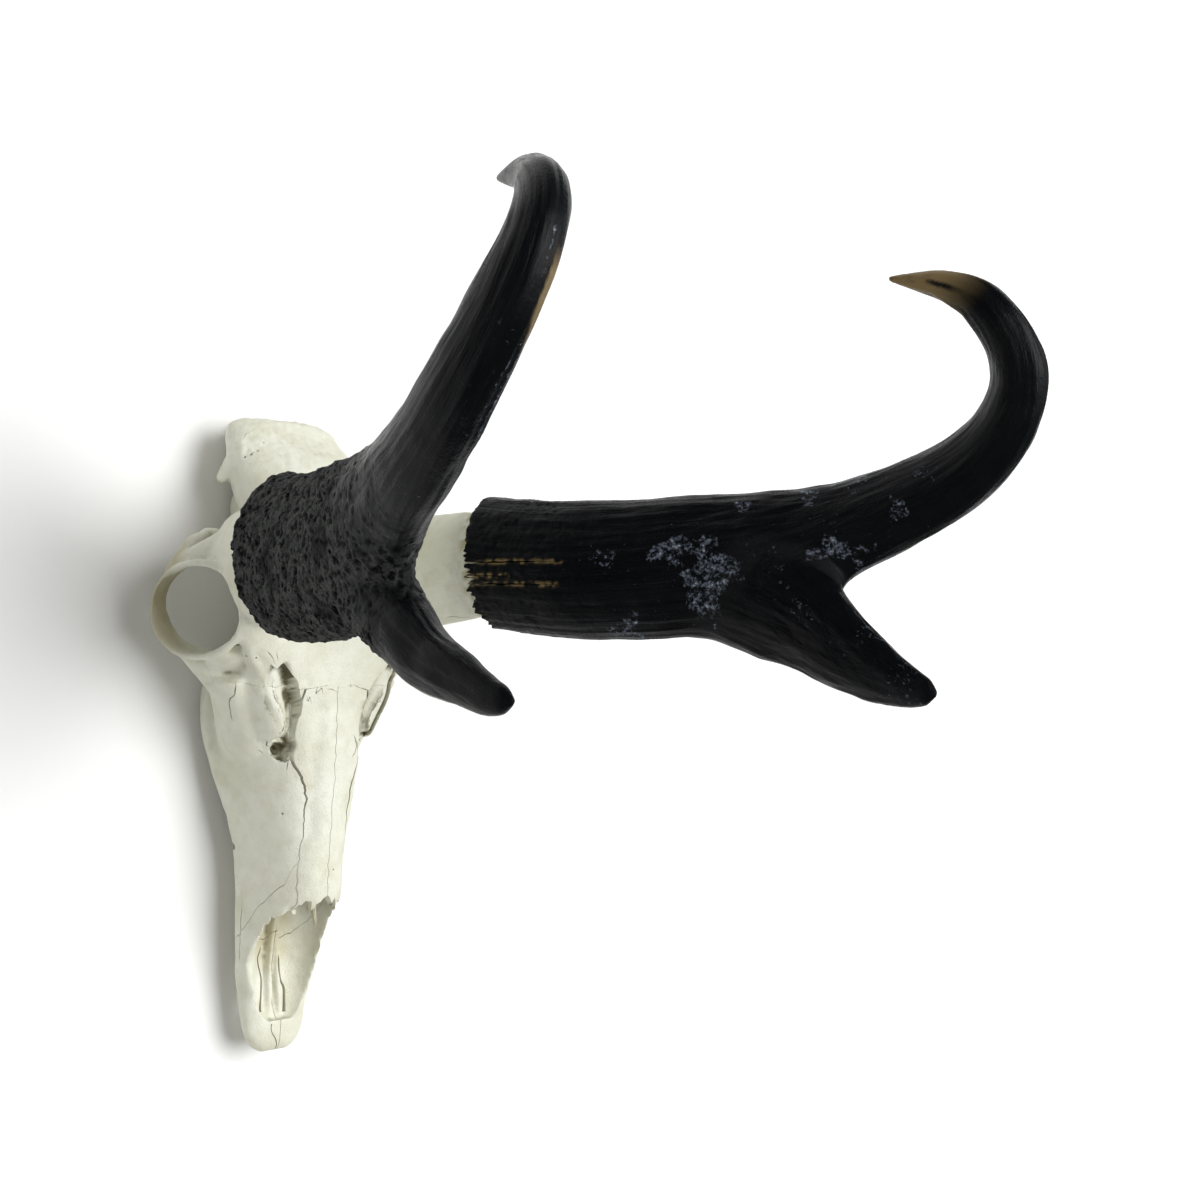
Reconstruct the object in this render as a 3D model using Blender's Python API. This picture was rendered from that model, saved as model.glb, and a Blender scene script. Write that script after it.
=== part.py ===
"""Pronghorn skull with both horns, life size, lying as it rests on a table.

The nose points to -Y, the animal's left side is +X and the table is Z = 0. The skull stands on its last cheek
teeth and on its occipital condyles. It is drawn level, in millimetres, and stand() tips it back onto the table.

The bones are lofts and tapered tubes fused into one skull, which is hollowed at the nose and at the orbits and then
parted along its main sutures. Each horn is a curved beam with one prong, parted at its fork.
"""

import math

import bmesh
import bpy
import numpy as np
from mathutils import Vector

for old in list(bpy.data.objects):
    bpy.data.objects.remove(old, do_unlink=True)

MM = 0.001
GAP = 0.32
SKULL_TRIANGLES = 4800
HORN_TRIANGLES = 1300
LEFT, RIGHT = 1, -1
SIDES = {"left": LEFT, "right": RIGHT}

# How the skull is tipped back and set down: degrees, then the shifts along Y and Z that follow
REST_TILT = math.radians(8.6)
REST_SHIFT_Y = -23.7
REST_SHIFT_Z = -9.5

# Left orbit: its centre, its half sizes, how its opening leans up and turns forwards, and its raised rim
ORBIT_CENTRE = (61.5, 46.5, 61.2)
ORBIT_HALF_LENGTH = 18.5
ORBIT_HALF_HEIGHT = 22.6
ORBIT_SQUARENESS = 0.84
ORBIT_LEAN = math.radians(14.0)
ORBIT_TURN = math.radians(12.0)
RIM_OFFSET = 2.0
RIM_HALF_THICKNESS = 1.7
RIM_HALF_DEPTH = 3.2

# Face, from the premaxillary tip to the cheek: y, half width, height of the widest level, top, bottom
FACE = [
    (-148.0, 5.5, 4.0, 6.5, 1.4),
    (-144.5, 11.0, 4.0, 9.5, 0.2),
    (-137.0, 16.2, 4.8, 11.5, 0.0),
    (-126.0, 18.0, 6.5, 15.5, 0.4),
    (-112.0, 19.4, 9.0, 26.0, 2.2),
    (-97.0, 20.6, 12.0, 39.5, 5.2),
    (-82.0, 21.0, 14.5, 53.0, 8.0),
    (-65.0, 21.8, 17.0, 57.5, 10.6),
    (-50.0, 24.0, 20.0, 61.5, 14.0),
    (-33.0, 27.5, 23.0, 66.0, 18.0),
    (-14.0, 30.8, 26.0, 70.5, 20.0),
    (6.0, 33.0, 31.0, 74.5, 21.0),
    (26.0, 32.0, 38.0, 79.0, 24.0),
    (40.0, 22.0, 46.0, 82.0, 36.0),
]
# Forehead, a broad shelf that carries the horns and roofs the orbits
FOREHEAD = [
    (-6.0, 20.0, 62.0, 71.0, 50.0),
    (10.0, 34.0, 66.0, 76.0, 50.0),
    (26.0, 49.0, 75.0, 82.0, 62.0),
    (40.0, 57.0, 82.0, 88.0, 73.0),
    (55.0, 58.5, 83.0, 92.0, 73.0),
    (69.0, 55.0, 81.0, 93.0, 68.0),
    (82.0, 42.0, 75.0, 92.0, 60.0),
    (92.0, 32.0, 70.0, 89.0, 50.0),
]
# Column of the sphenoid between the orbits, below the forehead
SPHENOID = [
    (22.0, 12.0, 55.0, 76.0, 40.0),
    (36.0, 9.5, 56.0, 84.0, 38.0),
    (52.0, 10.0, 54.0, 86.0, 36.0),
    (66.0, 15.0, 50.0, 86.0, 33.0),
    (84.0, 22.0, 46.0, 84.0, 28.0),
]
# Braincase, from behind the orbits to the nuchal crest
BRAINCASE = [
    (56.0, 12.0, 66.0, 86.0, 46.0),
    (68.0, 23.5, 66.0, 90.0, 40.0),
    (82.0, 29.8, 64.0, 90.0, 33.0),
    (98.0, 32.4, 60.0, 85.5, 28.0),
    (113.0, 33.2, 55.0, 77.0, 26.0),
    (126.0, 31.2, 52.0, 66.0, 27.0),
    (135.0, 27.0, 50.0, 58.0, 31.0),
]
# Palatines and pterygoids, hanging behind the tooth rows
PALATINE = [
    (18.0, 13.0, 30.0, 46.0, 19.0),
    (34.0, 11.5, 30.0, 48.0, 17.5),
    (50.0, 9.0, 33.0, 48.0, 22.0),
    (64.0, 6.5, 38.0, 48.0, 32.0),
]
# Nasal cavity, open above in front of the nasal tips
CAVITY = [
    (-135.0, 9.0, 15.0, 30.0, 8.5),
    (-130.0, 13.5, 17.0, 34.0, 7.0),
    (-124.0, 16.0, 19.5, 40.0, 6.2),
    (-112.0, 18.0, 24.0, 50.0, 7.0),
    (-98.0, 18.4, 27.0, 58.0, 9.0),
    (-86.0, 17.8, 28.0, 60.0, 12.0),
    (-81.5, 17.4, 28.0, 49.0, 13.5),
    (-62.0, 17.0, 32.0, 53.0, 17.0),
    (-44.0, 13.0, 36.0, 53.0, 22.0),
    (-34.0, 7.0, 40.0, 48.0, 32.0),
]
# Nasal bones as a band over the roof of the nose: y, half width, underside at the midline
NASALS = [
    (-90.0, 12.4, 47.5),
    (-81.0, 12.7, 49.5),
    (-65.0, 12.6, 53.0),
    (-50.0, 12.0, 56.5),
    (-37.0, 12.2, 59.5),
    (-29.0, 14.4, 61.5),
    (-21.0, 18.0, 63.5),
    (-8.0, 18.6, 66.0),
    (4.0, 18.4, 68.5),
    (10.0, 17.5, 70.0),
]
NASAL_ROOF = 90.0
# Gap before the orbit, between nasal, frontal, lacrimal and maxilla, as an outline seen from above
VACUITY = [(30, 22), (34, 16), (33, 13), (28, 7), (22.5, 0), (21.5, -8), (20.5, -14), (18.6, -19.5), (17.4, -16),
           (18, -10), (18.6, -4), (17.8, 1), (21.5, 10), (26, 17)]
VACUITY_TOP, VACUITY_SWEEP = 84.0, (2.0, -1.0, -31.0)
# Slit through the palate, seen from above
FISSURE = [(5.2, -130), (6.8, -129), (7.6, -121), (8.6, -113), (7.4, -106), (5.4, -101), (5.0, -110), (4.8, -119)]

# Cheek teeth, front to back: crown length along the row, half width across it
TEETH = [(8.0, 3.6), (9.5, 4.4), (10.5, 5.2), (12.0, 6.0), (13.5, 6.4), (14.5, 5.8)]
TOOTH_ROW_START = (-48.0, 16.6)
TOOTH_ROW_END = (24.0, 22.4)
TOOTH_ROOT_Z = 25.0
CROWN_Z = 12.3

# Horns, each drawn as a left one: centre line of the beam from the sheath's base to the hook's tip
HORN_BASE = (56.3, 60.1, 117.7)
BEAM = {
    "left": [HORN_BASE, (67.2, 52.5, 147.3), (83.0, 47.0, 179.6), (101.7, 44.1, 214.9), (119.8, 46.3, 250.6),
             (133.5, 53.2, 282.5), (142.2, 63.0, 311.5), (145.2, 74.5, 333.0), (144.2, 90.5, 348.5),
             (140.2, 105.5, 356.5), (134.4, 118.8, 357.5), (127.4, 129.8, 351.0), (119.9, 138.3, 338.5),
             (112.6, 145.0, 319.1)],
    "right": [HORN_BASE, (67.2, 52.5, 147.3), (83.0, 47.0, 179.6), (101.2, 43.0, 215.6), (119.0, 44.7, 251.4),
              (132.8, 51.8, 283.2), (142.2, 62.0, 312.0), (146.2, 74.5, 333.0), (145.4, 90.5, 349.0),
              (141.2, 105.5, 357.0), (134.9, 118.8, 357.5), (127.4, 129.8, 351.0), (119.9, 138.3, 338.5),
              (112.6, 145.0, 319.1)],
}
# Half depth (fore and aft) and half thickness of the beam at fractions of its length; the right mouth is wider
BEAM_DEPTH = {
    "left": [(0.0, 30.0), (0.14, 31.0), (0.30, 31.5), (0.40, 27.0), (0.50, 20.6), (0.62, 16.6), (0.75, 13.4),
             (0.82, 11.2), (0.88, 9.6), (0.93, 6.6), (0.97, 3.6), (1.0, 1.4)],
    "right": [(0.0, 34.0), (0.14, 33.7), (0.30, 32.6), (0.40, 26.2), (0.50, 18.6), (0.62, 14.6), (0.75, 12.4),
              (0.82, 11.0), (0.88, 9.6), (0.93, 6.6), (0.97, 3.6), (1.0, 1.4)],
}
BEAM_THICKNESS = {
    "left": [(0.0, 21.0), (0.14, 19.0), (0.30, 16.0), (0.42, 13.5), (0.55, 11.8), (0.70, 10.8), (0.80, 9.6),
             (0.88, 8.4), (0.93, 6.2), (0.97, 3.5), (1.0, 1.4)],
    "right": [(0.0, 24.0), (0.14, 21.0), (0.30, 16.6), (0.42, 13.5), (0.55, 11.4), (0.70, 10.4), (0.80, 9.6),
              (0.88, 8.4), (0.93, 6.2), (0.97, 3.5), (1.0, 1.4)],
}
# The right prong springs lower on its beam
PRONG = {
    "left": [(92.0, 42.0, 198.0), (103.0, 30.0, 226.0), (112.5, 15.0, 250.0), (117.0, -3.0, 268.0),
             (119.8, -16.5, 284.0), (121.2, -24.5, 298.0), (121.4, -28.5, 309.5)],
    "right": [(80.0, 44.0, 168.0), (92.0, 40.0, 198.0), (103.0, 30.0, 226.0), (112.5, 15.0, 250.0),
              (117.0, -3.0, 268.0), (119.8, -16.5, 284.0), (121.2, -24.5, 298.0), (121.4, -28.5, 309.5)],
}
PRONG_DEPTH = {
    "left": [(0.0, 16.0), (0.22, 23.0), (0.42, 25.5), (0.6, 19.5), (0.78, 13.5), (0.91, 8.6), (1.0, 3.6)],
    "right": [(0.0, 25.0), (0.2, 26.0), (0.38, 25.0), (0.5, 22.5), (0.66, 17.0), (0.82, 12.2), (0.92, 8.2), (1.0, 3.6)],
}
PRONG_THICKNESS = [(0.0, 8.0), (0.22, 11.0), (0.45, 12.0), (0.62, 10.0), (0.8, 7.0), (0.92, 4.6), (1.0, 2.4)]

# Web that fills the fork between the beam and the prong
FORK_WEB = [(104.0, 39.0, 222.0), (112.0, 34.0, 241.0), (120.0, 30.5, 260.0), (128.0, 29.0, 277.0)]
WEB_DEPTH = [(0.0, 14.0), (0.4, 14.5), (0.7, 12.5), (1.0, 7.5)]
WEB_THICKNESS = [(0.0, 12.0), (0.4, 10.5), (0.7, 8.5), (1.0, 5.5)]

# Bony core: leaves the forehead at its foot and enters a socket in the sheath
CORE_FOOT = (45.0, 62.0, 82.0)
CORE_HALF_DEPTH = 25.0
CORE_HALF_THICKNESS = 15.0
PEDICEL_LENGTH = 16.0
SOCKET_DEPTH = 14.0
RIM_TOOTH = 2.4
RIM_TEETH = 17

BONE_COLOUR = (0.74, 0.71, 0.60)
HORN_COLOUR = (0.014, 0.013, 0.013)


def material(name, colour, roughness):
    """A plain Principled surface of one colour."""
    made = bpy.data.materials.new(name)
    made.use_nodes = True
    shader = made.node_tree.nodes["Principled BSDF"]
    shader.inputs["Base Color"].default_value = (*colour, 1.0)
    shader.inputs["Roughness"].default_value = roughness
    shader.inputs["Metallic"].default_value = 0.0
    return made


def smooth_rows(rows, positions):
    """Catmull-Rom curves through rows of numbers, read at positions from 0 to the last row's index."""
    rows = np.asarray(rows, float)
    padded = np.vstack([2 * rows[0] - rows[1], rows, 2 * rows[-1] - rows[-2]])
    first = np.clip(np.floor(positions).astype(int), 0, len(rows) - 2)
    t = (positions - first)[:, None]
    a, b, c, d = (padded[first + k] for k in range(4))
    return 0.5 * (2 * b + (c - a) * t + (2 * a - 5 * b + 4 * c - d) * t**2 + (3 * b - a - 3 * c + d) * t**3)


def profile(pairs, fractions):
    """A width that varies along a length, from (fraction, width) pairs."""
    at, value = np.transpose(pairs)
    return np.interp(fractions, at, value)


def stand(points):
    """Turns points of the level skull about X and sets them down on the table."""
    x, y, z = np.moveaxis(np.asarray(points, float), -1, 0)
    ahead = y * math.cos(REST_TILT) + z * math.sin(REST_TILT) + REST_SHIFT_Y
    above = z * math.cos(REST_TILT) - y * math.sin(REST_TILT) + REST_SHIFT_Z
    return np.stack([x, ahead, above], axis=-1)


def mesh_object(name, points, faces, place=stand):
    """A mesh object from points in millimetres, its faces turned outwards."""
    mesh = bpy.data.meshes.new(name)
    mesh.from_pydata((place(points) * MM).tolist(), [], faces)
    work = bmesh.new()
    work.from_mesh(mesh)
    bmesh.ops.recalc_face_normals(work, faces=work.faces)
    work.to_mesh(mesh)
    work.free()
    made = bpy.data.objects.new(name, mesh)
    bpy.context.collection.objects.link(made)
    return made


def loft(name, rings):
    """A closed skin over rings of equally many points, with a flat cap at each end."""
    count, sides = rings.shape[:2]
    faces = []
    for i in range(count - 1):
        for j in range(sides):
            k = (j + 1) % sides
            corner = (i * sides + j, i * sides + k, (i + 1) * sides + k, (i + 1) * sides + j)
            faces += [corner[:3], (corner[0], *corner[2:])]
    faces.append(tuple(range(sides)))
    faces.append(tuple(range((count - 1) * sides, count * sides)))
    return mesh_object(name, rings.reshape(-1, 3), faces)


def body_loft(name, stations, steps=3, sides=32, squareness=0.86, keel=None):
    """A loft along Y of rounded sections: half width, widest level, top and bottom; keel sharpens the underside."""
    rows = smooth_rows(stations, np.linspace(0, len(stations) - 1, steps * (len(stations) - 1) + 1))
    angle = np.linspace(0, 2 * math.pi, sides, endpoint=False)
    power = np.where(np.sin(angle) > 0, squareness, keel or squareness)
    across = np.sign(np.cos(angle)) * np.abs(np.cos(angle)) ** power
    upward = np.sign(np.sin(angle)) * np.abs(np.sin(angle)) ** power
    y, width, level, top, bottom = (rows[:, k, None] for k in range(5))
    height = np.where(upward > 0, top - level, level - bottom)
    return loft(name, np.stack([width * across, y + 0 * across, level + height * upward], axis=2))


def frames(path, across):
    """Tangents of a path, the across direction made square to them, and the third direction."""
    tangent = np.gradient(path, axis=0)
    tangent /= np.linalg.norm(tangent, axis=1)[:, None]
    side = across - tangent * (tangent @ np.asarray(across, float))[:, None]
    side /= np.linalg.norm(side, axis=1)[:, None]
    return tangent, side, np.cross(tangent, side)


def tube(name, points, depth, thickness, across=(1, 0, 0), steps=4, sides=16):
    """A tapered tube of elliptical section along a smooth path; thickness lies along the across direction."""
    count = steps * (len(points) - 1) + 1
    path = smooth_rows(points, np.linspace(0, len(points) - 1, count))
    length = np.concatenate([[0], np.cumsum(np.linalg.norm(np.diff(path, axis=0), axis=1))])
    fraction = length / length[-1]
    _, side, other = frames(path, across)
    angle = np.linspace(0, 2 * math.pi, sides, endpoint=False)
    a = profile(thickness, fraction)[:, None, None] * np.cos(angle)[None, :, None]
    b = profile(depth, fraction)[:, None, None] * np.sin(angle)[None, :, None]
    return loft(name, path[:, None] + a * side[:, None] + b * other[:, None])


def ellipsoid(name, centre, radii):
    """A faceted ellipsoid."""
    work = bmesh.new()
    bmesh.ops.create_icosphere(work, subdivisions=3, radius=1.0)
    work.verts.index_update()
    points = [np.array(vert.co) * radii + centre for vert in work.verts]
    faces = [tuple(vert.index for vert in face.verts) for face in work.faces]
    work.free()
    return mesh_object(name, points, faces)


def prism(name, outline, low, high):
    """An outline of (x, y, z) points swept from one offset to another."""
    outline = np.asarray(outline, float)
    return loft(name, np.stack([outline + low, outline + high]))


def mirrored(point, side):
    return (point[0] * side, point[1], point[2])


def apply_modifiers(target):
    """Bakes an object's modifiers into its own mesh."""
    bpy.context.view_layer.update()
    evaluated = target.evaluated_get(bpy.context.evaluated_depsgraph_get())
    baked = bpy.data.meshes.new_from_object(evaluated)
    target.modifiers.clear()
    target.data = baked


def boolean(target, others, operation):
    """Joins, cuts or intersects a target with a collection of closed objects, which are then removed."""
    if not others:
        return target
    group = bpy.data.collections.new(target.name + "_tools")
    for other in others:
        group.objects.link(other)
    step = target.modifiers.new(operation.lower(), "BOOLEAN")
    step.operation = operation
    step.solver = "MANIFOLD"
    step.operand_type = "COLLECTION"
    step.collection = group
    apply_modifiers(target)
    for other in others:
        bpy.data.objects.remove(other, do_unlink=True)
    bpy.data.collections.remove(group)
    return target


def blend(target, voxel, rounds, faces):
    """Melts a union's creases: an even remesh, a smoothing pass, then fewer faces."""
    remesh = target.modifiers.new("remesh", "REMESH")
    remesh.mode = "VOXEL"
    remesh.voxel_size = voxel * MM
    relax = target.modifiers.new("relax", "SMOOTH")
    relax.factor = 0.5
    relax.iterations = rounds
    apply_modifiers(target)
    fewer = target.modifiers.new("fewer", "DECIMATE")
    triangles = sum(len(face.vertices) - 2 for face in target.data.polygons)
    fewer.ratio = min(1.0, faces / triangles)
    apply_modifiers(target)
    return target


def keep_largest(target):
    """Keeps only the largest closed surface of an object."""
    work = bmesh.new()
    work.from_mesh(target.data)
    islands = []
    unseen = set(work.verts)
    while unseen:
        seed = unseen.pop()
        island, edge = {seed}, [seed]
        while edge:
            for link in edge.pop().link_edges:
                for vert in link.verts:
                    if vert in unseen:
                        unseen.remove(vert)
                        island.add(vert)
                        edge.append(vert)
        islands.append(island)
    largest = max(islands, key=lambda verts: sum(f.calc_area() for v in verts for f in v.link_faces))
    loose = [vert for island in islands if island is not largest for vert in island]
    bmesh.ops.delete(work, geom=loose, context="VERTS")
    work.to_mesh(target.data)
    work.free()
    return target


def copy_of(source, name):
    made = source.copy()
    made.data = source.data.copy()
    made.name = name
    bpy.context.collection.objects.link(made)
    return made


def take(source, name, region):
    """Moves what lies in a region out of a source into a new node, leaving a thin gap between them."""
    part = copy_of(source, name)
    boolean(part, [region(0.0)], "INTERSECT")
    boolean(source, [region(GAP)], "DIFFERENCE")
    return keep_largest(part)


def finish(node, surface):
    """Names a node's mesh, gives it its material and shades it smooth but for sharp edges."""
    node.data.name = node.name
    node.data.materials.clear()
    node.data.materials.append(surface)
    node.data.shade_smooth()
    node.data.set_sharp_from_angle(angle=math.radians(40))


def orbit_axes(side):
    """The orbit's outward axis, its forward axis and its upward axis."""
    outward = Vector((math.cos(ORBIT_LEAN) * math.cos(ORBIT_TURN), -math.sin(ORBIT_TURN), math.sin(ORBIT_LEAN)))
    outward.normalize()
    upward = (Vector((0, 0, 1)) - outward * outward.z).normalized()
    forward = upward.cross(outward)
    return tuple(Vector((v.x * side, v.y, v.z)) for v in (outward, forward, upward))


def orbit_ring(name, side):
    """The raised rim of the orbit: a closed band round an ellipse."""
    outward, forward, upward = (np.array(v) for v in orbit_axes(side))
    centre = np.array(mirrored(ORBIT_CENTRE, side))
    turns = np.linspace(0, 2 * math.pi, 40, endpoint=False)
    section = np.linspace(0, 2 * math.pi, 10, endpoint=False)
    radial = np.cos(turns)[:, None] * forward * (ORBIT_HALF_LENGTH + RIM_OFFSET)
    radial = radial + np.sin(turns)[:, None] * upward * (ORBIT_HALF_HEIGHT + RIM_OFFSET)
    unit = radial / np.linalg.norm(radial, axis=1)[:, None]
    points = (centre + radial)[:, None] + unit[:, None] * (RIM_HALF_THICKNESS * np.cos(section))[None, :, None]
    points = points + outward * (RIM_HALF_DEPTH * np.sin(section))[None, :, None]
    count, sides = points.shape[:2]
    faces = []
    for i in range(count):
        for j in range(sides):
            a, b = (i + 1) % count, (j + 1) % sides
            faces.append((i * sides + j, i * sides + b, a * sides + b, a * sides + j))
    return mesh_object(name, points.reshape(-1, 3), faces)


def side_bones(name, side):
    """The orbit's surround, the cheek arch, the bullae, condyles and processes of one side."""
    def at(*points):
        return [mirrored(p, side) for p in points]

    return [
        orbit_ring("rim_" + name, side),
        tube("cheek_" + name, at((14, -36, 34), (23, -12, 38), (33, 8, 44), (44, 22, 52)),
             [(0, 12), (0.5, 16), (1, 13)], [(0, 8), (0.5, 11), (1, 8)]),
        tube("malar_" + name, at((38, 12, 48), (49, 25, 46), (58, 37, 40)),
             [(0, 9), (0.5, 7), (1, 5)], [(0, 8), (0.5, 6), (1, 4)]),
        ellipsoid("lacrimal_" + name, mirrored((47, 25, 61), side), (10, 6.5, 12)),
        tube("lacrimal_wall_" + name, at((22, -8, 58), (33, 9, 61), (44, 24, 62)),
             [(0, 9), (0.5, 15), (1, 12)], [(0, 8), (0.6, 9), (1, 5)]),
        tube("arch_" + name, at((55, 34, 40), (62.5, 49, 37.5), (63, 62, 41.5), (60, 72, 49), (54, 79.5, 55),
                                (46, 80.5, 54), (36, 80, 51), (24, 82, 50)),
             [(0, 4.6), (0.3, 3.8), (0.6, 4.2), (0.8, 5), (1, 7)], [(0, 3.2), (0.3, 2.2), (0.6, 2.6), (1, 4)]),
        tube("bar_" + name, at((46, 72, 82), (53, 72, 74), (58.5, 71, 64), (61.5, 70, 55), (62.5, 66, 47)),
             [(0, 10), (0.35, 8), (0.7, 4.4), (1, 3.4)], [(0, 4), (0.4, 2.4), (1, 2)]),
        tube("temporal_" + name, at((21, 122, 54), (30, 114, 51), (35.5, 108.5, 47.5)),
             [(0, 8), (0.6, 5.5), (1, 2)], [(0, 7), (0.6, 4.5), (1, 1.6)]),
        tube("crest_" + name, at((30.5, 112, 60), (30.8, 122, 60.5), (28.5, 131, 60.5), (14, 137, 60),
                                 (-2, 138.5, 59.5)),
             [(0, 2), (0.3, 2.8), (1, 3)], [(0, 2), (0.5, 2.6), (1, 2.8)], across=(0, 1, 0)),
        tube("alveoli_" + name, at((18, -52, 24), (24, -32, 22.5), (29, -8, 21.5), (29.5, 14, 22), (26, 28, 27)),
             [(0, 5), (0.3, 6), (1, 6)], [(0, 4), (0.3, 5.5), (0.8, 6), (1, 5)]),
        ellipsoid("bulla_" + name, mirrored((12, 98, 34), side), (6.5, 12, 7)),
        ellipsoid("condyle_" + name, mirrored((10.5, 134, 36), side), (6.5, 8, 8)),
        tube("pedicel_" + name, at((42, 62, 74), (45, 62, 84), (50, 61.5, 97), (55, 60.5, 113)),
             [(0, 27), (0.4, CORE_HALF_DEPTH + 1.5), (1, CORE_HALF_DEPTH)],
             [(0, 18), (0.4, CORE_HALF_THICKNESS + 1), (1, CORE_HALF_THICKNESS)]),
    ]


def bone_cutters(name, side):
    """The orbit's hollow and the gap before the orbit, of one side."""
    outward, forward, upward = orbit_axes(side)
    socket = [np.array(mirrored(ORBIT_CENTRE, side)) + np.array(outward) * step for step in (14, 0, -12, -24, -34)]
    flare = [1.08, 1.0, 1.04, 0.92, 0.55]
    turns = np.linspace(0, 2 * math.pi, 28, endpoint=False)[:, None]
    across = np.sign(np.cos(turns)) * np.abs(np.cos(turns)) ** ORBIT_SQUARENESS
    rise = np.sign(np.sin(turns)) * np.abs(np.sin(turns)) ** ORBIT_SQUARENESS
    oval = across * np.array(forward) * ORBIT_HALF_LENGTH + rise * np.array(upward) * ORBIT_HALF_HEIGHT
    vacuity = [(side * x, y, VACUITY_TOP) for x, y in VACUITY]
    sweep = (side * VACUITY_SWEEP[0], *VACUITY_SWEEP[1:])
    return [
        loft("socket_" + name, np.array([centre + grow * oval for centre, grow in zip(socket, flare)])),
        prism("vacuity_" + name, vacuity, (0, 0, 0), sweep),
    ]


def fissures(name, side):
    """The palatine fissure of one side, a long slit through the floor of the nose."""
    slit = [(side * x, y, 0) for x, y in FISSURE]
    return prism("fissure_" + name, slit, (0, 0, -5), (0, 0, 30))


def teeth(name, side):
    """Six cheek teeth of one side, each a waisted two-lobed block with a ridged grinding face."""
    made = []
    total = sum(length for length, _ in TEETH)
    done = 0.0
    for number, (length, half_width) in enumerate(TEETH):
        middle = (done + length / 2) / total
        done += length
        y = TOOTH_ROW_START[0] + middle * (TOOTH_ROW_END[0] - TOOTH_ROW_START[0])
        x = TOOTH_ROW_START[1] + middle * (TOOTH_ROW_END[1] - TOOTH_ROW_START[1]) + 1.6 * math.sin(math.pi * middle)
        turns = np.linspace(0, 2 * math.pi, 12, endpoint=False)
        lobes = 1 - 0.16 * np.cos(turns * 2) ** 2 * (np.abs(np.sin(turns)) > 0.5)
        ring = np.stack([half_width * np.cos(turns) * lobes, 0.5 * (length - 0.1) * np.sin(turns), 0 * turns], axis=1)
        ring[:, :2] *= 0.93 + 0.12 * np.abs(np.sin(2 * turns))[:, None]
        levels = [(TOOTH_ROOT_Z, 0.96), (CROWN_Z + 4, 1.0), (CROWN_Z + 1.0, 0.97), (CROWN_Z, 0.8)]
        rings = np.array([ring * (grow, grow, 1) + (x, y, z) for z, grow in levels])
        rings[:, :, 0] *= side
        made.append(loft(f"tooth_{name}_{number}", rings))
    return made


def build_skull():
    """The whole skull without teeth, fused, smoothed, then hollowed."""
    skull = body_loft("cranium", BRAINCASE, keel=1.45)
    pieces = [body_loft("face", FACE), body_loft("forehead", FOREHEAD), body_loft("sphenoid", SPHENOID),
              body_loft("palatine", PALATINE)]
    for name, side in SIDES.items():
        pieces += side_bones(name, side)
    boolean(skull, pieces, "UNION")
    blend(skull, voxel=1.5, rounds=5, faces=SKULL_TRIANGLES)
    cutters = [body_loft("cavity", CAVITY, steps=1, sides=20), foramen_magnum(), table(), choana()]
    for name, side in SIDES.items():
        cutters += bone_cutters(name, side)
        cutters.append(fissures(name, side))
    for cutter in cutters:
        boolean(skull, [cutter], "DIFFERENCE")
    return keep_largest(skull)


def foramen_magnum():
    """The hole for the spinal cord, between the condyles."""
    return tube("foramen", [(0, 118, 42), (0, 130, 41), (0, 150, 40)], [(0, 5), (1, 7)], [(0, 6), (1, 8)], sides=20)


def choana():
    """The rear nostril, a channel up between the palatines."""
    return tube("choana", [(0, 30, 38), (0, 46, 32), (0, 70, 18)], [(0, 5), (1, 9)], [(0, 6.5), (1, 7)], sides=16)


def table():
    """What lies below the table, which flattens the feet of the skull."""
    corners = np.array([(-90, -200, 0), (90, -200, 0), (90, 200, 0), (-90, 200, 0)], float)
    faces = [(0, 1, 2, 3), (4, 5, 6, 7), (0, 1, 5, 4), (1, 2, 6, 5), (2, 3, 7, 6), (3, 0, 4, 7)]
    return mesh_object("table", np.vstack([corners - (0, 0, 40), corners]), faces, place=np.asarray)


def nasal_region(side):
    """The space of one nasal bone, from the midline to its outer suture."""
    def region(grow):
        rows = smooth_rows(NASALS, np.linspace(0, len(NASALS) - 1, 19))
        y, half_width, midline = (rows[:, k] for k in range(3))
        inner = np.full_like(y, GAP / 2 - grow)
        outer = half_width + grow
        roof = np.full_like(y, NASAL_ROOF)
        under = midline - 1.5 * grow
        ring = [(inner, roof), (outer, roof), (outer, under - 4.5), (0.55 * outer, under - 1.2), (inner, under)]
        rings = np.stack([np.stack([side * x, y, z], axis=1) for x, z in ring], axis=1)
        rings[-1, :, 1] += grow
        return loft("region", rings)
    return region


def nasal_notches(side):
    """The broken front edge of one nasal bone: a few sharp notches."""
    made = []
    for x, depth, half in ((2.2, 5.5, 1.1), (5.8, 4.0, 1.5), (9.2, 6.5, 1.4)):
        made.append(prism("notch", [(side * (x - half), -94, 0), (side * (x + half), -94, 0),
                                    (side * x, -89 + depth, 0)], (0, 0, 30), (0, 0, 70)))
    return made


def half_region(side, outline):
    """A side-view outline of (y, z) points, swept outwards from the midline gap."""
    def region(grow):
        points = np.array([(0, y, z) for y, z in outline], float)
        return prism("region", points, (side * (GAP / 2 - grow), 0, 0), (side * 80, 0, 0))
    return region


def front_of(line, front, grow):
    """The outline ahead of a slanting line through two (y, z) points, moved back by grow."""
    (y0, z0), (y1, z1) = line
    slope = (y1 - y0) / (z1 - z0)
    low, high = -20, 120
    return [(y0 + slope * (low - z0) + grow, low), (y0 + slope * (high - z0) + grow, high), (front, high),
            (front, low)]


def face_region(side, line):
    """Everything ahead of a slanting suture on one side of the midline."""
    def region(grow):
        return half_region(side, front_of(line, -170, grow * 1.1))(grow)
    return region


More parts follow.
